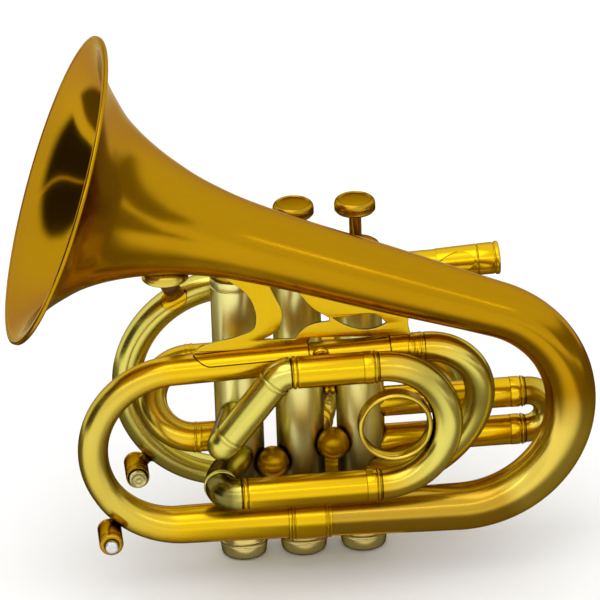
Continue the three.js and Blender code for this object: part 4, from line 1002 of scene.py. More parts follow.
valve_parts = {"casing": casing, "bottom_cap": bottom_cap, "top_cap": top_cap, "stem": stem,
               "button": button}
for part, piece in valve_parts.items():
    for number in (1, 3):
        twin = copy_along_x(piece, f"{part}_{number}", VALVE_X[number])
        hand_over(twin, f"valve_{number}_{part}")
    piece.name = piece.data.name = f"{part}_2"
    hand_over(piece, f"valve_2_{part}")
print("valves dressed:", len(valve_parts) * 3, "pieces")

# %% [markdown]
# Between neighbouring casings sit a ball-shaped crossing low down and a little beaded spacer higher up.
# Both are hollowed at their ends until they lie on the round casings, as a fitter would file them. The
# crossings are satin, so their polish is marked below nought.

# %% Crossings and spacers
KNUCKLE_RADIUS, KNUCKLE_Y = 6.5, -8
SPACER_Z = 69.5
SATIN = -2


def keep_out_of_casings(piece, *valves):
    """Pushes points that would be inside a casing out to its wall"""
    for vertex in piece.data.vertices:
        for valve in valves:
            out = Vector((vertex.co.x / MM - VALVE_X[valve], vertex.co.y / MM, 0))
            if out.length < SADDLE_RADIUS:
                push = out.normalized() * (SADDLE_RADIUS - out.length)
                vertex.co += push * MM


half_turn = [math.pi * i / 28 for i in range(29)]
for near, far, height in ((1, 2, 49.3), (2, 3, 42.8)):
    middle = Vector(((VALVE_X[near] + VALVE_X[far]) / 2, KNUCKLE_Y, height))
    ball = [[KNUCKLE_RADIUS * math.sin(turn), KNUCKLE_RADIUS * -math.cos(turn)] for turn in half_turn]
    ball[0][0] = ball[-1][0] = 0
    knuckle = turned(f"crossing_{near}_{far}", ball, middle, ACROSS, sides=64, edge=0)
    mark(knuckle, "polish", lambda vertex: SATIN)
    keep_out_of_casings(knuckle, near, far)
    hand_over(knuckle, f"knuckle_{near}_{far}")
    spacer_start = Vector((VALVE_X[far] + 8.6, 0, SPACER_Z))
    spacer = turned(f"spacer_{near}_{far}", [
        [0, 0], [2.3, 0], [2.3, 0.5], [1.5, 0.8], *bead(1.4, 0.9, 2.4, 1.15), *bead(1.4, 3.5, 2.4, 1.15),
        [1.5, 6], [2.3, 6.3], [2.3, 6.8], [0, 6.8]], spacer_start, ACROSS)
    keep_out_of_casings(spacer, near, far)
    hand_over(spacer, f"casing_spacer_{near}_{far}")
print("crossings and spacers: 2 of each, balls %.0f mm across" % (2 * KNUCKLE_RADIUS))

# %% [markdown]
# A cut brass plate with scroll-shaped openings braces the bell. Its outline is written as shares of its
# length and height, with a 1 at a sharp corner and a 0 where the line runs on smoothly. The upper edge
# isn't drawn: it follows the bell's underside, a little inside its wall, found by halving a step.

# %% Outline of the brace plate
PLATE_X, PLATE_LENGTH, PLATE_HEIGHT = -42.5, 86, 50
PLATE_Z = top_run_start.z + 1.54
TUCKED_IN = 0.4


def on_plate(shares):
    return [(PLATE_X + u * PLATE_LENGTH, PLATE_Z + v * PLATE_HEIGHT, corner) for u, v, corner in shares]


lower_edge = on_plate([
    (0, 0.12, 1), (0.03, 0.16, 0), (0.09, 0.185, 0), (0.21, 0.23, 0), (0.27, 0.28, 0), (0.283, 0.36, 0),
    (0.278, 0.45, 0), (0.245, 0.58, 0), (0.17, 0.7, 0)])
eye = on_plate([
    (0.375, 0.53, 0), (0.4, 0.42, 0), (0.393, 0.31, 0), (0.355, 0.225, 0), (0.3, 0.18, 1),
    (0.455, 0.17, 1), (0.487, 0.24, 0), (0.535, 0.285, 0), (0.612, 0.3, 1), (0.612, 0.33, 1),
    (0.54, 0.42, 0), (0.49, 0.53, 0)])
upper_right = on_plate([
    (0.985, 0.4, 1), (0.972, 0.3, 0), (0.968, 0.22, 0), (0.975, 0.16, 0), (0.98, 0.12, 1), (0.9, 0.06, 1),
    (0.865, 0.135, 1), (0.7, 0.155, 0), (0.527, 0.172, 1), (0.5, 0.08, 1)])
leaf = on_plate([
    (0.628, 0.33, 1), (0.655, 0.29, 0), (0.7, 0.245, 0), (0.76, 0.21, 0), (0.82, 0.215, 0), (0.87, 0.25, 1),
    (0.825, 0.325, 0), (0.77, 0.345, 0), (0.68, 0.325, 0)])


def bell_depth(place):
    """How far a point in millimetres is inside the bell's outer surface"""
    along = (place - rim_centre).dot(bell_heading)
    away = (place - rim_centre - bell_heading * along).length
    return bell_outline(min(max(along, 0), STEM)) - away


def under_bell(first_share, last_share, steps):
    """Points along the underside of the bell, between two shares of the plate's length"""
    line = []
    for i in range(steps + 1):
        x = PLATE_X + PLATE_LENGTH * (first_share + (last_share - first_share) * i / steps)
        on_axis = BELL_AXIS_Z - x * math.tan(BELL_PITCH)
        near, far = 0, 60
        while far - near > 0.01:
            half = (near + far) / 2
            inside_bell = bell_depth(Vector((x, BELL_PLANE, on_axis - half))) > TUCKED_IN
            near, far = (half, far) if inside_bell else (near, half)
        line.append((x, on_axis - near, 1))
    return line


outline = [*lower_edge, *under_bell(0.11, 0.342, 8), *eye, *under_bell(0.452, 0.985, 16), *upper_right]
print("outline:", len(outline), "points")

# %% [markdown]
# From the outline and the leaf-shaped opening Blender fills a flat curve, thickens it and rounds its
# edges. Made a mesh, it is stood up in the bell's plane. The cut edges get a painted highlight in the
# paler tone, and the faces are marked a little darker.

# %% Brace plate
PLATE_THICKNESS, PLATE_EDGE = 1.4, 0.3
start_fresh()
bpy.ops.curve.primitive_bezier_curve_add()
plate = bpy.context.object
drawing = plate.data
drawing.splines.clear()
for loop in (outline, leaf):
    spline = drawing.splines.new("BEZIER")
    spline.bezier_points.add(len(loop) - 1)
    spline.use_cyclic_u = True
    for point, (x, z, corner) in zip(spline.bezier_points, loop):
        point.co = (x * MM, z * MM, 0)
        point.handle_left_type = point.handle_right_type = "VECTOR" if corner else "AUTO"
drawing.dimensions = "2D"
drawing.fill_mode = "BOTH"
drawing.resolution_u = 10
drawing.bevel_depth = PLATE_EDGE * MM
drawing.bevel_resolution = 2
drawing.offset = -PLATE_EDGE * MM
drawing.extrude = (PLATE_THICKNESS / 2 - PLATE_EDGE) * MM
bpy.ops.object.convert(target="MESH")
plate = bpy.context.object
for vertex in plate.data.vertices:
    x, z, depth = vertex.co
    vertex.co = (x, depth + BELL_PLANE * MM, z)
close_seams()


def on_edge(vertex):
    return abs(vertex.co.y / MM - BELL_PLANE) < PLATE_THICKNESS / 2 - 0.01


mark(plate, "pulled_straight", lambda vertex: vertex.co, "FLOAT_VECTOR")
# Painted highlight on the cut edges; the faces are marked a little darker.
mark(plate, "steep", lambda vertex: 1 if on_edge(vertex) else 0)
mark(plate, "grime", lambda vertex: 0 if on_edge(vertex) else 0.16)
finish_mesh(plate, "brace_plate", 40)
print("brace plate: %.0f x %.0f mm" % (PLATE_LENGTH, PLATE_HEIGHT))

# %% [markdown]
# The plate stands on the top run with two thin feet that wrap round the front of the tube. Each starts
# beside the plate and is rounded off at its outer end, which its upper edge swings round.

# %% Feet of the plate
run_heading = tail_route.headings[-1]


def on_run(x):
    return tail_route.at(tail_bow_end + (x - top_run_start.x) / run_heading.x)[0]


FOOT_THICKNESS = 0.55
RIGHT_FOOT_X = 33.6
left_foot = soldered("left_foot", on_run(PLATE_X), run_heading, TAIL_RADIUS + 0.05, 44, lambda u: 4,
                     lambda u: 12 + 50 * math.sin(math.pi / 2 * min(1, u / 0.14)) ** 0.7,
                     FOOT_THICKNESS, 90)
right_foot = soldered("right_foot", on_run(RIGHT_FOOT_X), run_heading, TAIL_RADIUS + 0.05, 7, lambda u: 8,
                      lambda u: 96 - 70 * max(0, (u - 0.7) / 0.3) ** 2, FOOT_THICKNESS, 30)
hand_over(join(plate, left_foot, right_foot), "bell_brace")
print("feet at x = %.1f and %.1f" % (PLATE_X, RIGHT_FOOT_X))

# %% [markdown]
# The bell stands on the front bow by a disc with a polished lip and a rod whose foot is a tongue on the
# bow. The disc's top is slid down until it lies just inside the bell's wall, and the turned rod is
# flattened to a bar.

# %% Bell stay
STAY_X, STAY_DROP = -52.4, 24.6
STAY_FOOT_X = -45


def tuck_under_bell(piece):
    for vertex in piece.data.vertices:
        place = vertex.co / MM
        for _ in range(60):
            excess = bell_depth(place) - TUCKED_IN
            if excess < 0.01:
                break
            place.z -= excess
        vertex.co = place * MM


stay_height = BELL_AXIS_Z - STAY_X * math.tan(BELL_PITCH) - STAY_DROP
disc_centre = Vector((STAY_X, BELL_PLANE, stay_height))
disc = turned("stay_disc", [
    [0, -0.7], [7, -0.7], [7.4, -0.45], [8.6, -0.3], [9, 0.1], [9, 1.2], [8.7, 2], [8.5, 8.6], [0, 8.6]],
    disc_centre, UP, sides=96, pale=1)
tuck_under_bell(disc)
foot_turn = math.acos((FRONT_X - STAY_FOOT_X) / FRONT_BOW)
foot_point = Vector((STAY_FOOT_X, BACK_PLANE, FRONT_Z + FRONT_BOW * math.sin(foot_turn)))
bow_tangent = Vector((math.sin(foot_turn), 0, math.cos(foot_turn)))
rod_way = (foot_point - disc_centre).normalized()
rod_length = (foot_point - disc_centre).length - FRONT_RADIUS - 0.2
rod = turned("stay_rod", [
    [0, 0.4], [3.6, 0.4], [3.5, 3], [3.5, rod_length - 8], [4, rod_length - 3], [4.3, rod_length - 0.2],
    [0, rod_length]], disc_centre, rod_way, sides=48, pale=1)
flat_way = rod_way.cross(bow_tangent).normalized()
for vertex in rod.data.vertices:
    off = (vertex.co / MM - disc_centre).dot(flat_way)
    vertex.co -= flat_way * (off * 0.72 * MM)
aside = bow_tangent.cross(UP).normalized()
tongue_turn = math.degrees(math.atan2((-rod_way).dot(aside), (-rod_way).dot(aside.cross(bow_tangent))))


def half_tongue(u):
    """Degrees from the middle of the tongue to its edge, as on an ellipse"""
    return 44 * math.sqrt(max(0.02, 1 - (2 * u - 1) ** 2))


tongue = soldered("tongue", foot_point - bow_tangent * 5.2, bow_tangent, FRONT_RADIUS + 0.05, 10.4,
                  lambda u: tongue_turn - half_tongue(u), lambda u: tongue_turn + half_tongue(u), 0.6, 40)
hand_over(join(disc, rod, tongue), "bell_stay")
print("stay rod: %.0f mm" % rod_length)

# %% [markdown]
# A short flanged post joins the third slide to the top run. Most of it is hidden, so a small turned piece
# is enough.

# %% Third slide post
post_z = THIRD_HIGH + 2.4
post = turned("slide_post", [
    [0, -7.6], [2.5, -7.6], [2.5, -6], [3, -5.6], [3.2, -5], [3.2, -3.9], [0, -3.9]],
    (6.1, BELL_PLANE, post_z), BACK, sides=56)
hand_over(post, "third_slide_stay")
print("post at z = %.1f" % post_z)

# %% [markdown]
# A water key is a small barrel with a spring-loaded button: press it and the condensed breath runs out.
# Both barrels lie along Y beside their bows. The front one has a dished brass button, the bell one a
# bright nickel plunger in a bored collar.

# %% Water keys
KEY_RADIUS, KEY_LENGTH = 4.7, 14.6


def beside_bow(centre, bow_radius, offset, degrees, forward):
    turn = math.radians(degrees)
    reach = bow_radius + offset
    return Vector(centre) + Vector((reach * math.cos(turn), -forward, reach * math.sin(turn)))


def water_key(name, centre, bow_centre, bow_radius, tube_radius, push_radius, button_profile):
    """A barrel on a short neck beside its bow, and the button in the barrel's front"""
    front, lip = KEY_LENGTH / 2, push_radius + SEAM
    wide, ring = KEY_RADIUS, KEY_RADIUS - 0.2
    barrel = turned(f"{name}_barrel", [
        [0, -front], [3.4, -front], [4.3, -front + 0.3], [wide, -front + 0.9], [wide, -front + 2],
        [ring, -front + 2.2], [ring, -front + 2.6], [wide, -front + 2.8], [wide, front - 3.4],
        [ring, front - 3.2], [ring, front - 2.8], [wide, front - 2.6], [wide, front - 1.2],
        [ring, front - 0.5], [lip + 0.7, front], [lip, front - 0.1], [lip, front - 0.9],
        [3.8, front - 0.9], [3.8, -front + 0.9], [0, -front + 0.9]], centre, -BACK, sides=64)
    out = Vector(centre) - Vector(bow_centre)
    out.y = 0
    out.normalize()
    root = Vector(bow_centre) + out * (bow_radius + tube_radius - 0.4)
    to_key = Vector((centre[0], root.y, centre[2])) - root
    neck = turned("key_neck", [
        [0, 0], [3.4, 0], [2.8, 0.5], [2.6, 1], [2.6, to_key.length - 4.1], [0, to_key.length - 4.1]],
        root, to_key, sides=40)
    hand_over(join(barrel, neck), f"{name}_body")
    push = turned(f"{name}_push", button_profile(front), centre, -BACK, sides=48, edge=0.08, pale=1)
    hand_over(push, f"{name}_button")


front_key = beside_bow((FRONT_X, BACK_PLANE, FRONT_Z), FRONT_BOW, 12.2, 222.7, 2.8)
water_key("front_water_key", front_key, (FRONT_X, BACK_PLANE, FRONT_Z), FRONT_BOW, FRONT_RADIUS, 3.6,
          lambda front: [[0, front - 6.2], [3.5, front - 6.2], [3.5, front - 1.2], [3.6, front - 1.1],
                         [3.6, front + 1.9], [3.4, front + 2.3], [3, front + 2.4], [2.6, front + 2.3],
                         [2.4, front + 2.1], [1.3, front + 2.15], [1.1, front + 2.3], [0.8, front + 2.2],
                         [0, front + 2.25]])
bell_bow_centre = (TAIL_BOW_X, BELL_PLANE, top_run_start.z - TAIL_BOW)
bell_key = beside_bow(bell_bow_centre, TAIL_BOW, 11, 229.6, 5.2)
water_key("bell_water_key", bell_key, bell_bow_centre, TAIL_BOW, 6.1, 2.6,
          lambda front: [[0, front - 6.2], [3.5, front - 6.2], [3.5, front - 1.2], [2.6, front - 1.1],
                         [2.6, front + 1.4], [2.45, front + 2], [2, front + 2.35], [1.2, front + 2.45],
                         [0.7, front + 2.35], [0, front + 2.3]])
print("water keys at", [tuple(round(c, 1) for c in key) for key in (front_key, bell_key)])

# %% [markdown]
# A return spring stands in each valve and a small one in each water key: a wire swept along a helix whose
# end turns lie flat. A valve spring stays in its casing while the piston comes down on it, so it is
# squashed along its axis by the valve's own joint instead of being cut through.

# %% Return springs
COIL_STEPS, FLAT_TURN = 28, 0.7


def spring(node, axis, wire, turns):
    """A coil that fills the frame's box of the node; turns counts the flat ones at its ends too"""
    low, high = (Vector(corner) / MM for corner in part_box(node))
    length = (high - low).dot(axis)
    radius = (high - low).dot(ACROSS) / 2 - wire
    foot = (low + high) / 2 - axis * (length / 2)
    points = []
    for step in range(turns * COIL_STEPS + 1):
        turned_by = step / COIL_STEPS
        turn = math.tau * turned_by
        rise = min(1, max(0, (turned_by - FLAT_TURN) / (turns - 2 * FLAT_TURN)))
        place = foot + axis * (wire + rise * (length - 2 * wire))
        points.append(place + (ACROSS * math.cos(turn) + axis.cross(ACROSS) * math.sin(turn)) * radius)
    coil = round_line(points, [wire] * len(points), 12, capped=True)
    close_seams()
    return hand_over(finish_mesh(coil, f"{node}_coil"), node), foot, length


for number in VALVE_X:
    coil, foot, length = spring(f"valve_{number}_spring", UP, 0.55, 6)
    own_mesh(coil)
for side in ("front", "bell"):
    spring(f"{side}_water_key_spring", BACK, 0.3, 5)

# %% [markdown]
# A finish is a tree of shader nodes. By hand one adds a node, types its numbers in and draws links to it.
# The helpers below do the same: an input is given a plain value, or the output of another node, which
# draws the link. Colours are written as on screen and turned into the linear values of the shader.

# %% Helpers for node trees
VECTOR_MATH = "ShaderNodeVectorMath"


def srgb(code):
    parts = [int(code[i:i + 2], 16) / 255 for i in (1, 3, 5)]
    return (*[c / 12.92 if c <= 0.04045 else ((c + 0.055) / 1.055) ** 2.4 for c in parts], 1)


def feed(tree, node, inputs):
    """Sets inputs, named or counted, to a value or links them to another node's output"""
    for key, value in inputs.items():
        socket = node.inputs[key]
        if isinstance(value, bpy.types.NodeSocket):
            tree.links.new(value, socket)
        else:
            socket.default_value = value
    return node


def add(tree, kind, label="", **inputs):
    """Adds a node; the names of its inputs are written with _ for a space"""
    node = tree.nodes.new(kind)
    node.label = label
    return feed(tree, node, {key.replace("_", " "): value for key, value in inputs.items()})


def work_out(tree, label, operation, *values, kind="ShaderNodeMath"):
    node = add(tree, kind, label)
    node.operation = operation
    return feed(tree, node, dict(enumerate(values))).outputs[0]


def colour_between(tree, label, share, first, second):
    node = add(tree, "ShaderNodeMix", label)
    node.data_type = "RGBA"
    return feed(tree, node, {0: share, 6: first, 7: second}).outputs[2]


def shader_between(tree, share, first, second):
    return feed(tree, add(tree, "ShaderNodeMixShader"), {0: share, 1: first, 2: second}).outputs[0]


def new_material(name):
    material = bpy.data.materials.new(name)
    material.use_nodes = True
    material.node_tree.nodes.clear()
    return material, material.node_tree


print("half grey is", round(srgb("#808080")[0], 3))

# %% [markdown]
# Antique brass is not one colour. Brushing leaves fine lines along the tube, handling and lacquer leave
# soft clouds of warmer and greener brass, and the corners are darkened, partly as residue and partly as
# painted shade. The first two are made once, as a node group that reads the pulled-straight
# coordinates, and each finish sets its own amounts. The group also mixes in the paler tone of the
# painted reflection.

# %% The brushed and clouded brass group
brushed = bpy.data.node_groups.new("Brushed clouded brass", "ShaderNodeTree")
for socket, kind, value in (
        ("Pulled", "NodeSocketVector", None), ("Place", "NodeSocketVector", None),
        ("Level", "NodeSocketColor", (0.6, 0.4, 0.05, 1)), ("Pale reflection", "NodeSocketColor", (0.5, 0.45, 0.1, 1)),
        ("Pale reflection share", "NodeSocketFloat", 0), ("Tarnish", "NodeSocketColor", (0.3, 0.2, 0.03, 1)),
        ("Clouds", "NodeSocketFloat", 0.3), ("Lines", "NodeSocketFloat", 0.15),
        ("Roughness", "NodeSocketFloat", 0.3), ("Along", "NodeSocketFloat", 0.02)):
    made = brushed.interface.new_socket(socket, in_out="INPUT", socket_type=kind)
    if value is not None:
        made.default_value = value
for socket, kind in (("Colour", "NodeSocketColor"), ("Roughness", "NodeSocketFloat"),
                     ("Height", "NodeSocketFloat")):
    brushed.interface.new_socket(socket, in_out="OUTPUT", socket_type=kind)

given = add(brushed, "NodeGroupInput").outputs
stretch = add(brushed, "ShaderNodeCombineXYZ", "lines run along the tube", X=1, Y=1, Z=given["Along"])
stretched = work_out(brushed, "stretched place", "MULTIPLY", given["Pulled"], stretch.outputs[0],
                     kind=VECTOR_MATH)
lines = add(brushed, "ShaderNodeTexNoise", "brush lines", Vector=stretched, Scale=1500, Detail=4,
            Roughness=0.6).outputs["Fac"]
clouds = add(brushed, "ShaderNodeTexNoise", "clouds", Vector=given["Place"], Scale=26, Detail=2,
             Roughness=0.5).outputs["Fac"]
cloudy = add(brushed, "ShaderNodeMapRange", "soft clouds", Value=clouds, From_Min=0.36,
             From_Max=0.7).outputs[0]
run_colour = colour_between(brushed, "level to steep", given["Pale reflection share"], given["Level"], given["Pale reflection"])
cloud_share = work_out(brushed, "cloud share", "MULTIPLY", cloudy, given["Clouds"])
clouded = colour_between(brushed, "tarnish in the clouds", cloud_share, run_colour, given["Tarnish"])
line_shade = add(brushed, "ShaderNodeMapRange", "line shade", Value=lines, From_Min=0.3, From_Max=0.7,
                 To_Min=-1).outputs[0]
line_amount = work_out(brushed, "line amount", "MULTIPLY_ADD", line_shade, given["Lines"], 1)
lined = work_out(brushed, "lined colour", "MULTIPLY", clouded, line_amount, kind=VECTOR_MATH)
lined_roughness = work_out(brushed, "lined roughness", "MULTIPLY", given["Roughness"], line_amount)
rough = work_out(brushed, "rougher in the clouds", "MULTIPLY_ADD", cloudy, 0.05, lined_roughness)
add(brushed, "NodeGroupOutput", Colour=lined, Roughness=rough, Height=lines)
print("group inputs:", len(given) - 1)

# %% [markdown]
# Each finish is one material. The group's colour gets a painted, browner shade in recesses, found by
# ambient occlusion, and turns dark where surfaces meet, partly as residue and partly as painted shade, and
# where the mark for solder and painted shade says so. The result feeds a metallic Principled shader. The
# polish mark makes it smoother, or satin below nought. A metal's specular tint gives the tone at grazing
# angles.

# %% One brass finish
PAINTED_RECESS_SHADE, RESIDUE_AND_SHADE = srgb("#4A2008"), srgb("#2A1206")


def read(tree, name, output="Fac"):
    """What the pieces were marked with under this name"""
    node = add(tree, "ShaderNodeAttribute", name)
    node.attribute_name = name
    return node.outputs[output]


def openness(tree, label, reach, shut, free, least):
    """From the least where surfaces crowd within the reach to 1 where they are free"""
    around = add(tree, "ShaderNodeAmbientOcclusion", label, Distance=reach)
    around.samples = 6
    return add(tree, "ShaderNodeMapRange", label, Value=around.outputs["AO"], From_Min=shut, From_Max=free,
               To_Min=least).outputs[0]


def brass(name, level, steep, tarnish, edge, roughness, clouds, lines, recess, coat=0, all_steep=None):
    material, tree = new_material(name)
    group = add(tree, "ShaderNodeGroup")
    group.node_tree = brushed
    feed(tree, group, {
        "Pulled": read(tree, "pulled_straight", "Vector"),
        "Place": add(tree, "ShaderNodeTexCoord").outputs["Object"],
        "Pale reflection share": all_steep or read(tree, "steep"), "Level": srgb(level), "Pale reflection": srgb(steep),
        "Tarnish": srgb(tarnish), "Clouds": clouds, "Lines": lines, "Roughness": roughness})
    # Darkening in tight corners and grooves: partly residue, partly painted shade.
    corners = openness(tree, "dark corners", reach=0.0022, shut=0.3, free=0.8, least=0.12)
    # Painted shade: recesses among the tubes turn darker and browner.
    recesses = openness(tree, "tarnished recesses", reach=0.045, shut=0.08, free=0.32, least=1 - recess)
    recess_shaded = colour_between(tree, "brown recesses", recesses, PAINTED_RECESS_SHADE, group.outputs["Colour"])
    unshaded = work_out(tree, "clean share", "SUBTRACT", corners, read(tree, "grime"))
    unshaded.node.use_clamp = True
    colour = colour_between(tree, "residue", unshaded, RESIDUE_AND_SHADE, recess_shaded)
    gloss = work_out(tree, "smoother where polished, satin below 0", "MULTIPLY_ADD",
                     read(tree, "polish"), -0.4, 1)
    relief = add(tree, "ShaderNodeBump", "brush relief", Height=group.outputs["Height"], Strength=0.006,
                 Distance=0.00002)
    metal = add(tree, "ShaderNodeBsdfPrincipled", Metallic=1, Base_Color=colour,
                Roughness=work_out(tree, "final roughness", "MULTIPLY", group.outputs["Roughness"], gloss),
                Specular_Tint=srgb(edge), Coat_Weight=coat, Coat_Roughness=0.04, Coat_IOR=1.4,
                Normal=relief.outputs[0])
    add(tree, "ShaderNodeOutputMaterial", Surface=metal.outputs[0])
    return material


print("finish helper ready for", sorted({slot for piece, slot in MADE if "brass" in slot}))

# %% [markdown]
# Five brasses cover the instrument: dull gold for the bell, warm gold for the tubes, greener brass for the
# bows, pale satin for the casings and a browner one for the caps. The colours are level, pale reflection,
# tarnish and edge, followed by roughness, clouds and lines. The pale reflection is a painted one, and the
# painted shade in the recesses has its own amount.

# %% The five brasses
FINISH = {
    "bell_brass": brass("Bell brass", "#B48602", "#E6CA54", "#A07200", "#C8B060", 0.19, 0.15, 0.03,
                        recess=0.1, coat=0.1),
    "tube_brass": brass("Tube brass", "#E8BC08", "#D2BC4C", "#D0A200", "#7A4E08", 0.22, 0.15, 0.03,
                        recess=0.35, coat=0.2),
    "bow_brass": brass("Bow brass", "#E0B41C", "#DCD062", "#B8A838", "#5A4A0A", 0.22, 0.25, 0.03,
                       recess=0.25, coat=0.25),
    "casing_brass": brass("Casing brass", "#F4EC98", "#F4EC98", "#E4DA78", "#5A3A06", 0.28, 0.15, 0.03,
                          recess=0.45, coat=0.2, all_steep=1.0),
    "cap_brass": brass("Cap brass", "#B88E20", "#E6DC96", "#8A6A14", "#5A4A12", 0.22, 0.3, 0.06,
                       recess=0.3),
}
print("brass finishes:", len(FINISH))

# %% [markdown]
# The rest is quick: bright nickel for one plunger, ground steel for springs and pistons, which stay
# hidden in the valves but still get a real finish, and green wool felt.

# %% Nickel, steel and felt
def toned(colour, share):
    return (*[c * share for c in srgb(colour)[:3]], 1)


def plain_metal(name, colour, roughness, grain_scale, stretch_z):
    material, tree = new_material(name)
    stretch = add(tree, "ShaderNodeMapping", "grain direction", Scale=(1, 1, stretch_z),
                  Vector=add(tree, "ShaderNodeTexCoord").outputs["Object"])
    grain = add(tree, "ShaderNodeTexNoise", "grain", Vector=stretch.outputs[0], Scale=grain_scale,
                Detail=5).outputs["Fac"]
    rough = add(tree, "ShaderNodeMapRange", "grain roughness", Value=grain, To_Min=roughness * 0.7,
                To_Max=roughness * 1.4)
    colours = colour_between(tree, "grain colour", grain, srgb(colour), toned(colour, 0.8))
    metal = add(tree, "ShaderNodeBsdfPrincipled", Metallic=1, Base_Color=colours,
                Roughness=rough.outputs[0])
    add(tree, "ShaderNodeOutputMaterial", Surface=metal.outputs[0])
    return material


def wool_felt(name, colour):
    material, tree = new_material(name)
    fibres = add(tree, "ShaderNodeTexNoise", "fibres", Scale=2600, Detail=6,
                 Vector=add(tree, "ShaderNodeTexCoord").outputs["Object"]).outputs["Fac"]
    relief = add(tree, "ShaderNodeBump", "fibre relief", Height=fibres, Strength=0.5, Distance=0.0001)
    colours = colour_between(tree, "fibre tone", fibres, srgb(colour), toned(colour, 1.8))
    cloth = add(tree, "ShaderNodeBsdfPrincipled", Roughness=0.95, Base_Color=colours,
                Normal=relief.outputs[0])
    add(tree, "ShaderNodeOutputMaterial", Surface=cloth.outputs[0])
    return material


FINISH["nickel"] = plain_metal("Nickel plate", "#E4E4E8", 0.14, 900, 1)
FINISH["piston_metal"] = plain_metal("Ground piston", "#B4B0A6", 0.22, 700, 14)
FINISH["spring_steel"] = plain_metal("Spring steel", "#8C8C90", 0.3, 1200, 1)
FINISH["felt"] = wool_felt("Wool felt", "#2C3A2E")
print("finishes:", len(FINISH))

# %% [markdown]
# Now each new piece gets the finish of its slot. The CAD nodes that no piece stands for, such as the
# pistons and felts, keep their shape and get the same finishes in place of their plain colours.

# %% Give every piece its finish
for piece, slot in MADE:
    piece.data.materials.clear()
    piece.data.materials.append(FINISH[slot])
replaced = {node for node, thing in frame["nodes"].items() if thing.hide_render}
for node, thing in frame["nodes"].items():
    if node not in replaced:
        for place in thing.material_slots:
            place.material = FINISH[SLOT_OF[node]]
print("pieces:", len(MADE), "CAD nodes still shown:", len(frame["nodes"]) - len(replaced))

# %% [markdown]
# The trumpet stands on a pale floor in an even white surround, as for a catalogue. The metal mirrors that
# surround, and the camera sees it where the floor ends. What only lights the set is a little stronger.

# %% Floor and surround
PALE, WHITE = (0.97, 0.97, 0.97, 1), (1, 1, 1, 1)
start_fresh()
bpy.ops.mesh.primitive_plane_add(size=9, location=(0, 0, -0.0002))
floor = bpy.context.object
floor.name = "floor"
floor_material, floor_tree = new_material("Pale floor")
floor_shader = add(floor_tree, "ShaderNodeBsdfPrincipled", Roughness=0.9, Base_Color=PALE)
add(floor_tree, "ShaderNodeOutputMaterial", Surface=floor_shader.outputs[0])
floor.data.materials.append(floor_material)

world = bpy.data.worlds.new("Surround")
bpy.context.scene.world = world
world.use_nodes = True
sky = world.node_tree
sky.nodes.clear()
rays = add(sky, "ShaderNodeLightPath").outputs
seen = work_out(sky, "camera or glossy", "MAXIMUM", rays["Is Camera Ray"], rays["Is Glossy Ray"])
seen = work_out(sky, "or transmission", "MAXIMUM", seen, rays["Is Transmission Ray"])
lighting = add(sky, "ShaderNodeBackground", "light on the set", Strength=1.02, Color=WHITE)
backdrop = add(sky, "ShaderNodeBackground", "what is seen", Strength=1, Color=WHITE)
surround = shader_between(sky, seen, lighting.outputs[0], backdrop.outputs[0])
add(sky, "ShaderNodeOutputWorld", Surface=surround)
print("floor and surround ready")

# %% [markdown]
# A broad soft lamp hangs overhead. A long thin one stands in front, and its mirror image is the bright
# line along the tubes.

# %% Lamps
MIDDLE = (0, 0, 0.11)


def aim(thing, target):
    way = Vector(target) - thing.location
    thing.rotation_euler = way.to_track_quat("-Z", "Y").to_euler()


def soft_lamp(name, place, width, depth, power):
    bpy.ops.object.light_add(type="AREA", location=place)
    lamp = bpy.context.object
    lamp.name = name
    lamp.data.shape = "RECTANGLE"
    lamp.data.size, lamp.data.size_y = width, depth
    lamp.data.energy = power
    aim(lamp, MIDDLE)


soft_lamp("sky_lamp", (-0.5, -0.5, 1.8), 1.6, 1.2, 6.5)
soft_lamp("line_lamp", (-0.15, -1.63, 1.09), 3.0, 0.075, 2.8)

# %% [markdown]
# Cards that only reflections see lie on the floor and stand at both sides. A photographer uses such cards
# to give polished metal its dark edges, and theirs fade out so that the shades do too. Two small ones are
# bright: a slit beside the bell and a strip under the caps.

# %% Reflecting cards
def card(name, middle, facing, width, depth, shade, feather=0.08):
    """Seen only by reflections, so it shades part of the metal and nothing else; its edges fade out"""
    bpy.ops.mesh.primitive_plane_add(size=1, location=middle)
    plane = bpy.context.object
    plane.name = name
    plane.scale = (width, depth, 1)
    aim(plane, Vector(middle) + Vector(facing))
    material, tree = new_material(name)
    place = add(tree, "ShaderNodeTexCoord").outputs["Object"]
    off_middle = work_out(tree, "distance from the middle", "ABSOLUTE", place, kind=VECTOR_MATH)
    to_edge = work_out(tree, "metres to the edges", "MULTIPLY_ADD", off_middle, (-width, -depth, 0),
                       (width / 2, depth / 2, 0), kind=VECTOR_MATH)
    sides = add(tree, "ShaderNodeSeparateXYZ", Vector=to_edge).outputs
    nearest = work_out(tree, "nearest edge", "MINIMUM", sides["X"], sides["Y"])
    cover = add(tree, "ShaderNodeMapRange", "soft edge", Value=nearest, From_Max=feather)
    cover.interpolation_type = "SMOOTHSTEP"
    clear = add(tree, "ShaderNodeBsdfTransparent")
    tone = add(tree, "ShaderNodeEmission", Strength=1, Color=(shade, shade * 0.85, shade * 0.6, 1))
    surface = shader_between(tree, cover.outputs[0], clear.outputs[0], tone.outputs[0])
    add(tree, "ShaderNodeOutputMaterial", Surface=surface)
    plane.data.materials.append(material)
    plane.visible_camera = plane.visible_shadow = False
    plane.visible_diffuse = plane.visible_transmission = False


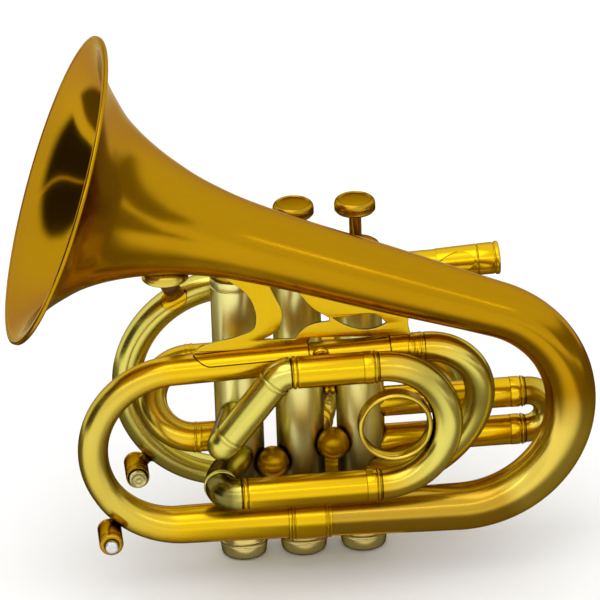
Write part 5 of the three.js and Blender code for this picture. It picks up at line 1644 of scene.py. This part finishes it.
DOWN = (0, 0, -1)
card("under_card", (0.48, 0.14, -0.0001), DOWN, 1.1, 0.62, 0.24)
card("under_left_card", (-0.25, 0.1, -0.00012), DOWN, 0.54, 0.34, 0.18, 0.06)
card("under_right_card", (0.4, -0.22, -0.00014), DOWN, 0.5, 0.4, 0.3)
card("right_card", (1.0, -0.15, 0.12), (-1, 0, 0), 1.5, 0.62, 0.3, 0.14)
card("left_card", (-0.75, -0.12, 0.38), (1, 0, 0), 0.76, 1.1, 0.03, 0.12)
card("slit_card", (-0.74, -0.12, 0.345), (1, 0, 0), 0.76, 0.018, 1.4, 0.004)
card("cap_card", (0, -0.019, 0.0002), DOWN, 0.08, 0.014, 1.0, 0.003)

# %% [markdown]
# The camera stands where the photographer stood: a little left of square to the valves, looking down by
# 26 degrees, with a long lens and the picture tilted by not quite two degrees.

# %% Camera
VIEW_TURN, VIEW_RISE, VIEW_ROLL = (math.radians(a) for a in (-5.106, 25.999, 1.878))
VIEW_DISTANCE, AIM_HEIGHT = 1966.8, 75
SLIP_RIGHT, SLIP_UP = -0.511, -30.699
back = Vector((math.sin(VIEW_TURN) * math.cos(VIEW_RISE), -math.cos(VIEW_TURN) * math.cos(VIEW_RISE),
               math.sin(VIEW_RISE)))
level_right = Vector((math.cos(VIEW_TURN), math.sin(VIEW_TURN), 0))
level_up = back.cross(level_right)
right = level_right * math.cos(VIEW_ROLL) - level_up * math.sin(VIEW_ROLL)
up = level_right * math.sin(VIEW_ROLL) + level_up * math.cos(VIEW_ROLL)
bpy.ops.object.camera_add()
camera = bpy.context.object
camera.name = "camera"
camera.data.lens = 300
camera.data.sensor_width = 36
camera.data.sensor_fit = "HORIZONTAL"
camera.data.clip_end = 20
place = Vector((0, 0, AIM_HEIGHT)) - right * SLIP_RIGHT - up * SLIP_UP + back * VIEW_DISTANCE
camera.location = place * MM
camera.rotation_euler = Matrix((right, up, back)).transposed().to_euler()
bpy.context.scene.camera = camera
bpy.context.scene.view_settings.view_transform = "Standard"
print("camera at", [round(c, 3) for c in camera.location])

# %% [markdown]
# The dressed pieces should agree with the frame's box to well under a millimetre, as brass doesn't stand
# proud of its frame.
